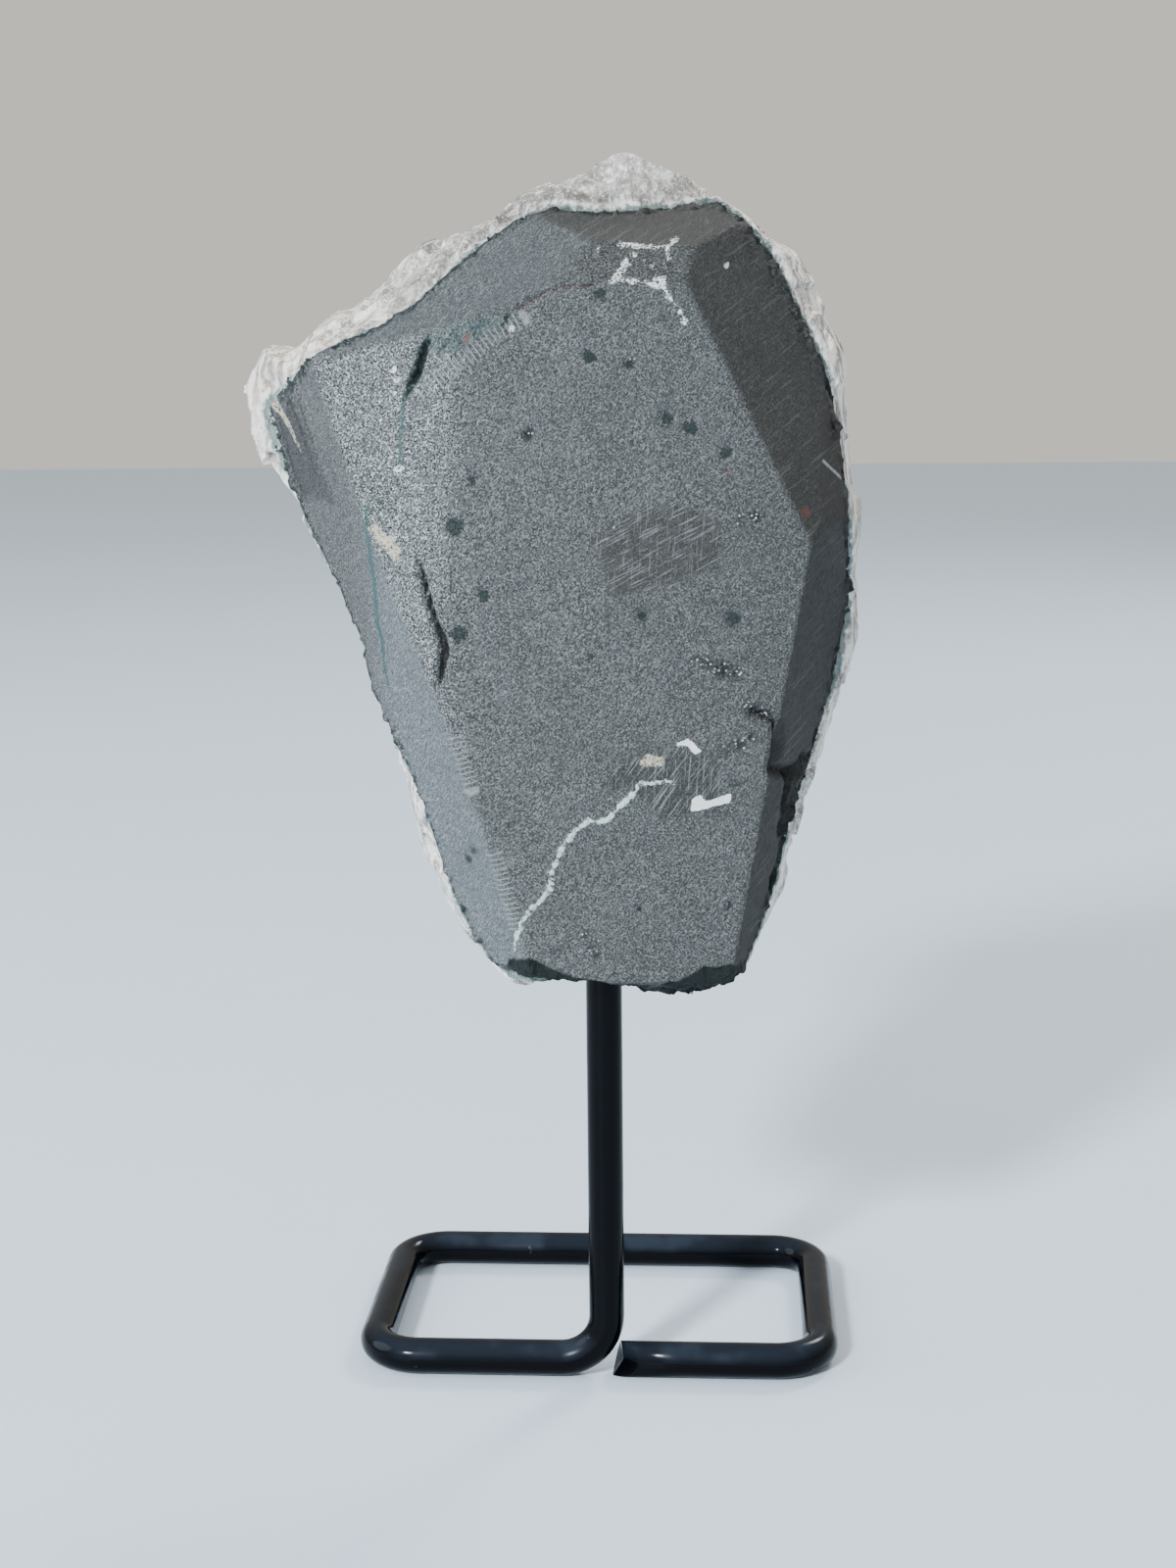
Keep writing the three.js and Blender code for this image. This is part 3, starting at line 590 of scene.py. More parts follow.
# How far each point hangs below one of the lower edge's lines, as seen from behind
def depthBelow(points, line):
    heights = points[:, 2] + lowerEdge["slant"] * (points[:, 1] - lowerEdge["plane"])
    return np.interp(points[:, 0], *zip(*line)) - heights


# Raises points that hang below the given lower line
def trimBelow(points, line):
    lift = np.clip(depthBelow(points, line), 0, lowerEdge["mostLift"])
    points[:, 2] += np.where(points[:, 0] < line[-1][0] + lowerEdge["pastEnd"], lift, 0)
    return points


# Distance to the nearest of several lines, and how far along that one
def joinLines(points, lines):
    best = np.full(len(points), 1e9)
    along = np.zeros(len(points))
    for line in lines:
        gap, way = pathDistance(points, line)
        nearer = gap < best
        best[nearer] = gap[nearer]
        along[nearer] = way[nearer]
    return best, along


# Distance to the rim of a line whose half-width changes from point to point
def taperDistance(points, path, widths):
    gap, along = pathDistance(points, path)
    lengths = np.linalg.norm(np.diff(np.asarray(path, float), axis=0), axis=1)
    return gap - np.interp(along, np.concatenate([[0], np.cumsum(lengths)]), widths)


# Finish values of the ground face each point lies on, blended across the ridges between faces; the tone
# among them holds painted light and shade
def faceFields(flat, blend):
    depths = []
    for face in groundFaces:
        direction = math.radians(face["direction"])
        alongX = (flat[:, 0] - face["x"]) * math.cos(direction)
        alongZ = (flat[:, 1] - face["z"]) * math.sin(direction)
        depths.append((alongX + alongZ) * math.tan(math.radians(face["slope"])))
    depths = np.array(depths)
    shares = np.exp(np.clip((depths - depths.max(axis=0)) / blend, -30, 0))
    shares /= shares.sum(axis=0)
    return {key: np.array([face[key] for face in groundFaces]) @ shares for key in finishAndShadeKeys}


def makeBasalt(setup, marks):
    piece = remeshed(mergedCopy("basalt_matrix", "basalt_stone"), setup["voxel"])
    points = toLocal(readPoints(piece))
    normals = readNormals(piece)
    flat = points[:, [0, 2]]
    facesBack = fade(-normals[:, 1], 0.02, 0.3)
    toCrust = surfaceDistance("zeolite_crust", readPoints(piece))

    lip = np.clip(1 - toCrust / setup["edgeReach"], 0, 1) * facesBack
    low = fade(depthBelow(points, lowerEdge["broken"]), 0, setup["lowReach"])
    push = setup["ground"] * waveNoise(points, 9.0, 3, 2)
    push += lip * setup["roughEdge"] * facetNoise(points, 2.2, 11, 0.45)
    undersideRelief = 0.7 * facetNoise(points, 3.4, 12, 0.35) + 0.3 * waveNoise(points, 2.5, 5)
    push += low * setup["underside"] * undersideRelief

    def groove(name):
        halfWidth, depth = setup[name]
        gap, _ = pathDistance(flat, marks[name])
        return -depth * np.clip(1 - gap / halfWidth, 0, 1) ** 1.4 * facesBack

    def ledgeDistance(places):
        return taperDistance(places, marks["leftLedge"], marks["ledgeWidths"])

    sparkle = -spotDistance(flat, marks["sparkleSpots"]) / 1.2
    fields = {
        "sparkle": np.clip(sparkle + 0.4 * waveNoise(points, 1.6, 14), 0, 1),
        "hollow": taperDistance(flat, marks["hollow"], marks["hollowWidths"]),
        "ledge": ledgeDistance(flat),
        "creamStreak": taperDistance(flat, marks["creamStreak"], marks["creamWidths"]),
        "darkStreaks": joinLines(flat, marks["darkStreaks"])[0],
        # Painted shade: darker toward the right, away from the light from the left
        "shade": fade(points[:, 0], setup["shadeFrom"], setup["shadeOver"]),
        "toCrust": toCrust,
        "underside": low,
        **faceFields(flat, setup["faceBlend"]),
    }
    for name in ("vein", "tealVein", "sawLine", "topCrack", "rightLedge", "hollowTail", "rightBreak",
                 "paleCrack"):
        fields[name] = pathDistance(flat, marks[name])[0]
    for name in ("greenSpots", "rustSpots", "creamSpots"):
        fields[name] = spotDistance(flat, marks[name])
    for name in ("crosshatch", "lowerHatch", "roughPatch", "darkStrip"):
        fields[name] = areaDistance(flat, marks[name])

    push += groove("topCrack")
    hollowDepth = setup["hollow"] * np.clip(0.2 - fields["hollow"], 0, 1)
    push -= hollowDepth * facesBack * (1 + 0.5 * waveNoise(points, 2.0, 8))
    patchRelief = setup["roughPatch"] * np.clip(0.6 - fields["roughPatch"], 0, 1)
    push += patchRelief * facesBack * facetNoise(points, 2.0, 16, 0.4)
    push -= setup["ledge"] * np.clip(0.5 - fields["ledge"], 0, 1) * facesBack
    besideLedge = ledgeDistance(flat + [setup["ridgeOffset"], 0])
    push += setup["ledgeRidge"] * np.clip(1 - besideLedge, 0, 1) * facesBack
    push += groove("rightLedge")
    push += groove("rightBreak") * (1 + 0.8 * waveNoise(points, 2.2, 9))
    push -= setup["pit"] * np.clip(1 - fields["greenSpots"] / 0.6, 0, 1) * facesBack
    sparkleRelief = np.clip(facetNoise(points, 1.5, 15, 0.5), -1, 1)
    push -= setup["sparkle"] * fields["sparkle"] * facesBack * sparkleRelief
    push += setup["veinHeight"] * np.clip(1 - fields["vein"] / 0.9, 0, 1)

    residue = joinLines(flat, marks["residueLines"])[0] - setup["residueWidth"]
    residue = np.minimum(residue, spotDistance(flat, marks["residueSpots"]))
    for patch in marks["residuePatches"]:
        residue = np.minimum(residue, areaDistance(flat, patch))
    fields["residue"] = residue
    fields["whitePatches"] = np.min([areaDistance(flat, patch) for patch in marks["whitePatches"]], axis=0)
    fields["ladder"], fields["ladderWay"] = joinLines(flat, marks["ladders"])
    moved = trimBelow(points + normals * (push * (1 - 0.5 * low))[:, None], lowerEdge["basalt"])
    moved[:, 2] += low * 0.5 * facetNoise(points, 1.8, 17, 0.4)
    writePoints(piece, toFrame(moved))
    for name, values in fields.items():
        writeField(piece, name, np.clip(values, -20, 20) if name != "ladderWay" else values)
    return piece


def basaltMaterial(setup):
    material, shader, surface = newMaterial("groundBasalt", {"Roughness": 0.82, "Specular IOR Level": 0.18})
    place = shader.place()
    grain = shader.group(sharedEffects["grain"], Place=place, Size=setup["grainSize"], Patchiness=0.24)
    wobble = shader.times(shader.minus(shader.noise(place, 900, 3, 0.7), 0.5), 1.3)
    color = shader.mix(grain["Cloud"], setup["base"], tuple(v * 0.80 for v in setup["base"]))
    color = shader.mix(shader.attribute("blue"), color, setup["blue"])
    grainShare = shader.minus(1.0, shader.times(shader.attribute("blue"), 0.5))
    grainShare = shader.times(grainShare, shader.ramp(shader.attribute("speck"), 0, 1, 0.65, 1.7))
    lightGrain = shader.mix(shader.times(shader.attribute("speck"), 0.45), setup["pale"], setup["white"])
    color = shader.mix(shader.times(grain["Light"], shader.times(grainShare, 0.56)), color, lightGrain)
    color = shader.mix(shader.times(grain["Dark"], shader.times(grainShare, 0.80)), color, setup["deep"])
    brownCloud = shader.ramp(shader.noise(place, 60, 3, 0.6), 0.46, 0.74)
    brownShare = shader.plus(shader.attribute("brown"), shader.times(brownCloud, 0.12))
    color = shader.mix(brownShare, color, setup["brown"])
    scratch = sharedEffects["scratch"]
    faceLines = shader.group(scratch, Place=place, Angle=1.42, Spacing=0.00035, Thinness=0.54)
    lineShare = shader.times(shader.times(faceLines["Mask"], shader.attribute("lines")), 0.16)
    color = shader.mix(lineShare, color, setup["pale"])
    strokePatches = shader.ramp(shader.noise(place, 75, 2, 0.5), 0.40, 0.62)
    for angle, limit, tint, amount in ((1.05, 0.55, "pale", 0.34), (1.05, 0.56, "deep", 0.42),
                                       (0.75, 0.60, "pale", 0.2)):
        shifted = shader.add("ShaderNodeMapping", Vector=place, Location=(0.1 * limit, 0.0, 0.7 * amount))
        strokes = shader.group(scratch, Place=shifted.outputs["Vector"], Angle=angle, Spacing=0.00027,
                               Stretch=5.0, Thinness=limit)
        strokeShare = shader.times(shader.times(strokes["Mask"], amount),
                                   shader.ramp(strokePatches, 0, 1, 0.35, 1.0))
        color = shader.mix(strokeShare, color, setup[tint])
    # Each face's tone multiplies the colour: partly the face's own colour, partly painted light and shade by
    # which way the face turns
    tone = shader.attribute("tone")
    grey = shader.add("ShaderNodeCombineXYZ", X=tone, Y=tone, Z=tone).outputs["Vector"]
    color = shader.mix(1.0, color, grey, "MULTIPLY")
    # Painted shade: darkens the stone toward the right, standing in for light that falls from the left
    color = shader.mix(shader.times(shader.attribute("shade"), 0.42), color, setup["deep"])

    # Tints the stone where a field is below the edge, with a soft and ragged border
    def mark(name, edge, soft, tint, amount=1.0, rough=1.0):
        nonlocal color
        value = shader.plus(shader.attribute(name), shader.times(wobble, rough))
        mask = shader.times(shader.ramp(value, edge, edge - soft), amount)
        color = shader.mix(mask, color, tint)
        return mask

    # Fine saw lines all over, then the cross-hatched patches
    broadSaw = shader.group(scratch, Place=place, Angle=0.62, Spacing=0.00055, Thinness=0.58)
    color = shader.mix(shader.times(broadSaw["Mask"], 0.10), color, setup["pale"])
    hatchMask = shader.ramp(shader.plus(shader.attribute("crosshatch"), wobble), 0.6, -1.2)
    lowerMask = shader.ramp(shader.plus(shader.attribute("lowerHatch"), wobble), 0.4, -1.0)
    color = shader.mix(shader.times(hatchMask, 0.60), color, setup["deep"])
    color = shader.mix(shader.times(hatchMask, 0.22), color, setup["brown"])
    color = shader.mix(shader.times(lowerMask, 0.50), color, setup["deep"])
    for mask, angle, spacing, amount in ((hatchMask, 0.47, 0.00025, 0.40), (hatchMask, 1.50, 0.00028, 0.20),
                                         (lowerMask, 0.95, 0.00032, 0.45), (lowerMask, 1.5, 0.00034, 0.30)):
        lines = shader.group(scratch, Place=place, Angle=angle, Spacing=spacing, Stretch=26.0, Thinness=0.56)
        color = shader.mix(shader.times(shader.times(lines["Mask"], mask), amount),
                           color, setup["pale"])
    ladderBand = shader.ramp(shader.plus(shader.attribute("ladder"), wobble), 1.7, 0.9)
    tickWay = shader.times(shader.attribute("ladderWay"), setup["tickPitch"])
    ticks = shader.ramp(shader.math("SINE", tickWay), 0.3, 0.9)
    ladder = shader.times(ladderBand, ticks)
    color = shader.mix(shader.times(ladder, 0.46), color, setup["pale"])

    under = shader.ramp(shader.plus(shader.attribute("underside"), shader.times(wobble, 0.3)), 0.15, 0.6)
    color = shader.mix(shader.times(under, 0.94), color, setup["green"])
    mark("darkStrip", 0.4, 2.2, setup["deep"], 0.52, 1.4)
    # Painted shade: the grooves of the right break, the top crack and the two ledges are darkened where
    # shade falls in them; the rust along the top crack is a real stain
    mark("rightBreak", 1.1, 0.8, setup["deep"], 0.92, 3.0)
    mark("topCrack", 0.40, 0.3, setup["rust"], 0.22, 0.6)
    mark("topCrack", 0.25, 0.25, setup["deep"], 0.7, 0.6)
    mark("rightLedge", 0.6, 0.4, setup["deep"], 0.9, 0.5)
    mark("ledge", 0.18, 0.3, setup["deep"], 0.88, 0.6)
    mark("roughPatch", 0.3, 1.2, setup["teal"], 0.35, 2.2)
    mark("roughPatch", -0.2, 1.0, setup["brown"], brownCloud, 1.8)
    mark("hollow", 0.7, 0.9, setup["teal"], 0.40, 1.6)
    mark("hollow", 0.25, 0.7, setup["green"], 0.92, 1.3)
    mark("hollowTail", 0.5, 0.4, setup["teal"], 0.75, 1.1)
    mark("greenSpots", 0.2, 0.8, setup["green"], 0.80, 1.3)
    mark("greenSpots", -0.1, 0.8, setup["teal"], 0.12, 1.3)
    mark("rustSpots", -0.1, 0.9, setup["rust"], 0.5, 1.3)
    mark("toCrust", 2.1, 1.0, setup["green"], 0.8, 3.4)
    mark("toCrust", 1.3, 1.0, setup["teal"], 0.65, 3.0)
    mark("tealVein", 0.50, 0.35, setup["teal"], 0.85, 0.8)
    mark("darkStreaks", 0.35, 0.4, setup["deep"], 0.75, 0.9)
    mark("sawLine", 0.3, 0.2, setup["deep"], 0.5, 0.1)
    mark("paleCrack", 0.3, 0.2, setup["pale"], 0.8, 0.2)
    crumbs = shader.ramp(shader.noise(place, 2300, 3, 0.75), 0.41, 0.52)
    veinBreaks = shader.ramp(shader.noise(place, 1300, 3, 0.75), 0.34, 0.52, 0.35, 1.0)
    mark("toCrust", 0.75, 0.4, setup["white"], shader.times(crumbs, 0.6), 3.0)
    vein = mark("vein", 0.42, 0.22, setup["veinTint"], veinBreaks, 1.7)
    mark("creamStreak", 0.1, 0.4, setup["cream"], shader.times(crumbs, 0.85), 1.2)
    mark("creamSpots", 0.3, 0.6, setup["cream"], shader.times(crumbs, 0.9), 1.9)
    residue = mark("residue", 0.02, 0.16, setup["white"], shader.times(crumbs, 0.98), 1.8)
    mark("whitePatches", 0.05, 0.12, setup["white"], 0.95, 0.6)
    # Painted glints: the sparkling spots are darkened, and the white specks on their grains are painted
    # glints
    sparkleGrain = shader.ramp(shader.cells(place, 1500), 0.34, 0.16)
    sparkle = shader.times(sparkleGrain, shader.attribute("sparkle"))
    color = shader.mix(shader.times(shader.attribute("sparkle"), 0.72), color, setup["deep"])
    color = shader.mix(shader.times(sparkle, 0.92), color, setup["white"])
    shader.plug(surface.inputs["Base Color"], color)

    height = shader.times(grain["Height"], 0.5)
    height = shader.plus(height, shader.times(broadSaw["Height"], 0.25))
    height = shader.plus(height, shader.times(ladder, -0.5))
    height = shader.plus(height, shader.times(residue, 0.5))
    height = shader.plus(height, shader.times(vein, 0.35))
    shader.plug(surface.inputs["Normal"], shader.bump(height, 0.55, 0.00035))
    gloss = shader.plus(shader.times(sparkle, -0.9), grain["Light"])
    rough = shader.ramp(gloss, -0.8, 1.0, 0.35, 0.86)
    shader.plug(surface.inputs["Roughness"], rough)
    return material


# Crust

crustSetup = {
    "voxel": 0.00085,
    "rimFacets": ((10.0, 31, 0.12), (5.0, 32, 0.07)),     # size mm, seed, tilt
    "frontFacets": ((5.0, 34, 0.25), (2.2, 35, 0.26)),
    "rimRange": (-0.7, 0.45), "frontRange": (-1.2, 0.9),   # mm
    "pale": (0.43, 0.41, 0.385), "white": (0.82, 0.83, 0.82), "smoke": (0.105, 0.094, 0.082),
    "cream": (0.46, 0.39, 0.29), "teal": (0.06, 0.12, 0.115), "front": (0.78, 0.77, 0.745),
    "chalk": (0.86, 0.825, 0.755),
    "socketReach": 0.75, "socketFade": 0.3,   # mm from a large crystal, within which the crust takes painted shade
    # socket and socketPale are painted shade on the crust under and against the large crystals
    "socket": (0.18, 0.20, 0.195), "socketPale": (0.50, 0.51, 0.50),
    "freeFrom": 0.4, "freeOver": 1.6,   # mm from the basalt over which the surface begins to break up
    "rimFrom": -17.0, "rimOver": 3.0, "backFacing": -0.75,   # mm of Y; the flat back of the rim stays flat
    "frontFrom": -6.0, "frontOver": 5.0,   # mm of Y over which the front begins
    "ripple": 0.08, "rippleSize": 3.0,   # mm
    "tipMiddle": (-55, 168), "tipReach": 22,   # mm, the cream-stained tip
    "whiteBelow": 122, "whiteOver": 8, "whiteLeftOf": -5, "leftOver": 4,   # mm, the rim's white lower left
    "sideMiddle": -3, "sideFrom": 22, "sideOver": 12, "sideShare": 0.85,   # mm of X, the chalky sides
}


# Distance from each point to the large clear crystals, mm
def crystalDistance(points):
    best = np.full(len(points), 1e9)
    for key in crystalClusters:
        name = "apophyllite_" + key + "_cluster"
        low, high = (np.array(corner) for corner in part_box(name))
        near = np.flatnonzero(np.all((points > low - 2 * mm) & (points < high + 2 * mm), axis=1))
        best[near] = np.minimum(best[near], surfaceDistance(name, points[near]))
    return best


def makeCrust(setup):
    piece = remeshed(mergedCopy("zeolite_crust", "crystal_crust"), setup["voxel"])
    points = toLocal(readPoints(piece))
    normals = readNormals(piece)
    free = fade(cornerDistance("basalt_matrix", readPoints(piece)), setup["freeFrom"], setup["freeOver"])
    free *= fade(points[:, 1], setup["rimFrom"], setup["rimOver"]) + (normals[:, 1] > setup["backFacing"])
    socket = fade(-crystalDistance(readPoints(piece)), -setup["socketReach"], setup["socketFade"])
    free = np.clip(free, 0, 1) * (1 - socket)
    atFront = fade(points[:, 1], setup["frontFrom"], setup["frontOver"])
    rim = sum(facetNoise(points, size, seed, tilt) for size, seed, tilt in setup["rimFacets"])
    front = sum(facetNoise(points, size, seed, tilt) for size, seed, tilt in setup["frontFacets"])
    push = np.clip(rim, *setup["rimRange"]) * (1 - atFront) + np.clip(front, *setup["frontRange"]) * atFront
    push = (push + setup["ripple"] * waveNoise(points, setup["rippleSize"], 21)) * free
    writePoints(piece, toFrame(trimBelow(points + normals * push[:, None], lowerEdge["crust"])))
    writeField(piece, "bed", atFront * (1 - socket))
    writeField(piece, "socket", socket)
    writeField(piece, "toBasalt", surfaceDistance("basalt_matrix", readPoints(piece)))
    fromTip = np.hypot(points[:, 0] - setup["tipMiddle"][0], points[:, 2] - setup["tipMiddle"][1])
    writeField(piece, "tip", np.clip(1 - fromTip / setup["tipReach"], 0, 1))
    lowerLeft = fade(-points[:, 2], -setup["whiteBelow"], setup["whiteOver"])
    lowerLeft *= fade(-points[:, 0], -setup["whiteLeftOf"], setup["leftOver"])
    sides = fade(np.abs(points[:, 0] - setup["sideMiddle"]), setup["sideFrom"], setup["sideOver"])
    writeField(piece, "whiteRim", np.maximum(lowerLeft, setup["sideShare"] * sides) * (1 - atFront))
    return piece


def crustMaterial(setup):
    material, shader, surface = newMaterial("crystalCrust", {
        "Subsurface Weight": 0.12, "Subsurface Scale": 0.0008, "Specular IOR Level": 0.5,
        "Subsurface Radius": (1.0, 0.95, 0.9)})
    place = shader.place()
    grain = shader.group(sharedEffects["grain"], Place=place, Size=0.0008, Patchiness=0.22)
    broad = shader.noise(place, 110, 4, 0.65)
    stretched = shader.add("ShaderNodeMapping", Vector=place, Rotation=(0.3, 0.6, 0.2),
                           Scale=(1.0, 1.0, 0.22))
    streak = shader.noise(stretched.outputs["Vector"], 620, 4, 0.7, 0.5)
    plate = shader.cells(place, 210, "Color")
    plateTone = shader.add("ShaderNodeSeparateColor", Color=plate).outputs[0]
    patches = shader.ramp(shader.noise(place, 105, 4, 0.6), 0.42, 0.57)
    body = shader.plus(shader.times(plateTone, 0.45), shader.times(patches, 0.55))
    color = shader.mix(body, setup["smoke"], setup["pale"])
    streakShare = shader.times(shader.ramp(streak, 0.50, 0.62), shader.ramp(patches, 0, 1, 0.25, 0.95))
    color = shader.mix(streakShare, color, setup["white"])
    crumbs = shader.ramp(shader.noise(place, 1500, 3, 0.7), 0.53, 0.62)
    color = shader.mix(shader.times(crumbs, 0.55), color, setup["white"])
    color = shader.mix(shader.times(grain["Dark"], 0.5), color, setup["smoke"])
    color = shader.mix(shader.times(shader.attribute("bed"), 0.8), color, setup["front"])
    # Painted shade: the crust is darker where it lies under and against the large crystals
    socketShade = shader.mix(shader.ramp(broad, 0.42, 0.60), setup["socket"], setup["socketPale"])
    color = shader.mix(shader.attribute("socket"), color, socketShade)
    creamShare = shader.times(shader.attribute("tip"), shader.ramp(broad, 0.40, 0.58))
    color = shader.mix(creamShare, color, setup["cream"])
    chalkShare = shader.times(shader.attribute("whiteRim"), shader.ramp(streak, 0.44, 0.56, 0.08, 0.95))
    color = shader.mix(chalkShare, color, setup["chalk"])
    wobble = shader.times(shader.minus(shader.noise(place, 700, 3, 0.7), 0.5), 2.4)
    teal = shader.ramp(shader.plus(shader.attribute("toBasalt"), wobble), 1.2, 0.6)
    color = shader.mix(shader.times(teal, 0.8), color, setup["teal"])
    seam = shader.ramp(shader.plus(shader.attribute("toBasalt"), wobble), 2.2, 1.4)
    seam = shader.times(shader.math("SUBTRACT", seam, teal, clamp=True), shader.ramp(streak, 0.40, 0.56))
    color = shader.mix(shader.times(seam, 0.7), color, setup["white"])
    shader.plug(surface.inputs["Base Color"], color)
    shader.plug(surface.inputs["Roughness"], shader.ramp(streak, 0.35, 0.7, 0.22, 0.62))
    height = shader.plus(shader.times(streak, 0.8), shader.times(plateTone, 0.5))
    height = shader.plus(height, shader.times(grain["Height"], 0.2))
    shader.plug(surface.inputs["Normal"], shader.bump(height, 0.5, 0.0005))
    return material


# Bed of fine crystals on the front of the crust

druseSetup = {
    "Spacing": 0.0014, "Half Width": 0.00095, "Length": 0.0012, "Taper": 0.66, "Lean": 0.45,
    "Smallest": 0.5, "Largest": 1.45, "Seed": 7,
    "white": (0.80, 0.795, 0.77), "cream": (0.66, 0.60, 0.50),
}


# Node tree that stands blunt four-sided crystals on the faces marked by the attribute bed
def druseTree():
    tree = bpy.data.node_groups.new("fineDruse", "GeometryNodeTree")
    tree.interface.new_socket("Geometry", in_out="INPUT", socket_type="NodeSocketGeometry")
    for key in ("Spacing", "Half Width", "Length", "Taper", "Lean", "Smallest", "Largest"):
        tree.interface.new_socket(key, in_out="INPUT", socket_type="NodeSocketFloat")
    tree.interface.new_socket("Seed", in_out="INPUT", socket_type="NodeSocketInt")
    tree.interface.new_socket("Material", in_out="INPUT", socket_type="NodeSocketMaterial")
    tree.interface.new_socket("Geometry", in_out="OUTPUT", socket_type="NodeSocketGeometry")
    given = tree.nodes.new("NodeGroupInput").outputs
    result = tree.nodes.new("NodeGroupOutput").inputs

    def add(kind, **settings):
        node = tree.nodes.new(kind)
        for key, value in settings.items():
            setattr(node, key, value)
        return node

    def link(source, socket):
        tree.links.new(source, socket)

    marked = add("GeometryNodeInputNamedAttribute", data_type="FLOAT")
    marked.inputs["Name"].default_value = "bed"
    scatter = add("GeometryNodeDistributePointsOnFaces", distribute_method="POISSON")
    scatter.inputs["Density Max"].default_value = 900000.0   # per square metre, more than Spacing leaves
    link(given["Geometry"], scatter.inputs["Mesh"])
    link(given["Spacing"], scatter.inputs["Distance Min"])
    link(given["Seed"], scatter.inputs["Seed"])
    link(marked.outputs[0], scatter.inputs["Density Factor"])
    crystal = add("GeometryNodeMeshCone", fill_type="NGON")
    crystal.inputs["Vertices"].default_value = 4
    link(given["Half Width"], crystal.inputs["Radius Bottom"])
    link(given["Length"], crystal.inputs["Depth"])
    narrow = add("ShaderNodeMath", operation="MULTIPLY")
    link(given["Half Width"], narrow.inputs[0])
    link(given["Taper"], narrow.inputs[1])
    link(narrow.outputs[0], crystal.inputs["Radius Top"])
    size = add("FunctionNodeRandomValue", data_type="FLOAT")
    link(given["Smallest"], size.inputs[2])
    link(given["Largest"], size.inputs[3])
    link(given["Seed"], size.inputs["Seed"])
    standing = add("GeometryNodeInstanceOnPoints")
    link(scatter.outputs["Points"], standing.inputs["Points"])
    link(scatter.outputs["Rotation"], standing.inputs["Rotation"])
    link(crystal.outputs["Mesh"], standing.inputs["Instance"])
    link(size.outputs[1], standing.inputs["Scale"])
    least = add("ShaderNodeMath", operation="MULTIPLY")
    least.inputs[1].default_value = -1.0
    link(given["Lean"], least.inputs[0])
    low = add("ShaderNodeCombineXYZ")
    high = add("ShaderNodeCombineXYZ")
    high.inputs["Z"].default_value = math.pi
    for axis in ("X", "Y"):
        link(least.outputs[0], low.inputs[axis])
        link(given["Lean"], high.inputs[axis])
    lean = add("FunctionNodeRandomValue", data_type="FLOAT_VECTOR")
    link(low.outputs[0], lean.inputs[0])
    link(high.outputs[0], lean.inputs[1])
    turned = add("GeometryNodeRotateInstances")
    link(standing.outputs["Instances"], turned.inputs["Instances"])
    link(lean.outputs[0], turned.inputs["Rotation"])
    solid = add("GeometryNodeRealizeInstances")
    link(turned.outputs["Instances"], solid.inputs["Geometry"])
    dressed = add("GeometryNodeSetMaterial")
    link(solid.outputs["Geometry"], dressed.inputs["Geometry"])
    link(given["Material"], dressed.inputs["Material"])
    link(dressed.outputs["Geometry"], result["Geometry"])
    return tree


def druseMaterial(setup):
    material, shader, surface = newMaterial("fineDruse", {
        "Roughness": 0.16, "Subsurface Weight": 0.2, "Subsurface Scale": 0.001, "Specular IOR Level": 0.6})
    place = shader.place()
    patches = shader.ramp(shader.noise(place, 70, 3, 0.6), 0.42, 0.64)
    color = shader.mix(patches, setup["white"], setup["cream"])
    shader.plug(surface.inputs["Base Color"], color)
    return material


def makeDruse(crust, setup, material):
    druse = bpy.data.objects.new("fine_crystal_bed", crust.data.copy())
    bpy.context.collection.objects.link(druse)
    modifier = druse.modifiers.new("fineDruse", "NODES")
    tree = druseTree()
    modifier.node_group = tree
    given = {**setup, "Material": material}
    for item in tree.interface.items_tree:
        if item.item_type == "SOCKET" and item.in_out == "INPUT" and item.name in given:
            modifier[item.identifier] = given[item.name]
    return applied(druse)


# Apophyllite

crystalSetup = {
    "bevel": 0.00020, "bevelOver": 20, "flatWithin": 0.6,   # m, degrees, degrees
    "tint": (0.985, 0.995, 0.99), "ior": 1.535,
    "veil": (0.93, 0.945, 0.94), "pearl": (0.96, 0.965, 0.96), "pearlLimit": 0.80,
    "absorbed": (0.82, 0.96, 0.90), "absorption": 8.0,   # per metre
}

crystalClusters = ("main", "upper", "top", "tip", "right", "left", "foot")


def crystalMaterial(setup):
    material, shader, surface = newMaterial("clearApophyllite", {
        "Transmission Weight": 0.90, "IOR": setup["ior"], "Specular IOR Level": 0.5})
    inside = shader.add("ShaderNodeVolumeAbsorption", Color=(*setup["absorbed"], 1),
                        Density=setup["absorption"])
    output = material.node_tree.nodes["Material Output"]
    shader.plug(output.inputs["Volume"], inside.outputs["Volume"])
    place = shader.place()
    cloud = shader.noise(place, 180, 4, 0.65)
    pearl = shader.attribute("pearl")
    color = shader.mix(shader.ramp(cloud, 0.52, 0.75), setup["tint"], setup["veil"])
    shader.plug(surface.inputs["Base Color"], shader.mix(pearl, color, setup["pearl"]))
    shader.plug(surface.inputs["Roughness"], shader.ramp(pearl, 0, 1, 0.02, 0.16))
    return material


def makeCrystals(setup, material):
    for key in crystalClusters:
        node = "apophyllite_" + key + "_cluster"
        piece = mergedCopy(node, "clear_crystals_" + key)
        work = bmesh.new()
        work.from_mesh(piece.data)
        bmesh.ops.dissolve_limit(work, angle_limit=math.radians(setup["flatWithin"]), verts=work.verts,
                                  edges=work.edges)
        work.to_mesh(piece.data)
        work.free()
        bevel = piece.modifiers.new("edges", "BEVEL")
        bevel.width = setup["bevel"]
        bevel.segments = 1
        bevel.limit_method = "ANGLE"
        bevel.angle_limit = math.radians(setup["bevelOver"])
        applied(piece)
        topFaces = [float(face.normal.y > setup["pearlLimit"]) for face in piece.data.polygons]
        pearl = piece.data.attributes.new("pearl", "FLOAT", "FACE")
        pearl.data.foreach_set("value", topFaces)
        finishPiece(piece, "clear_crystal", material, node)


# Stand

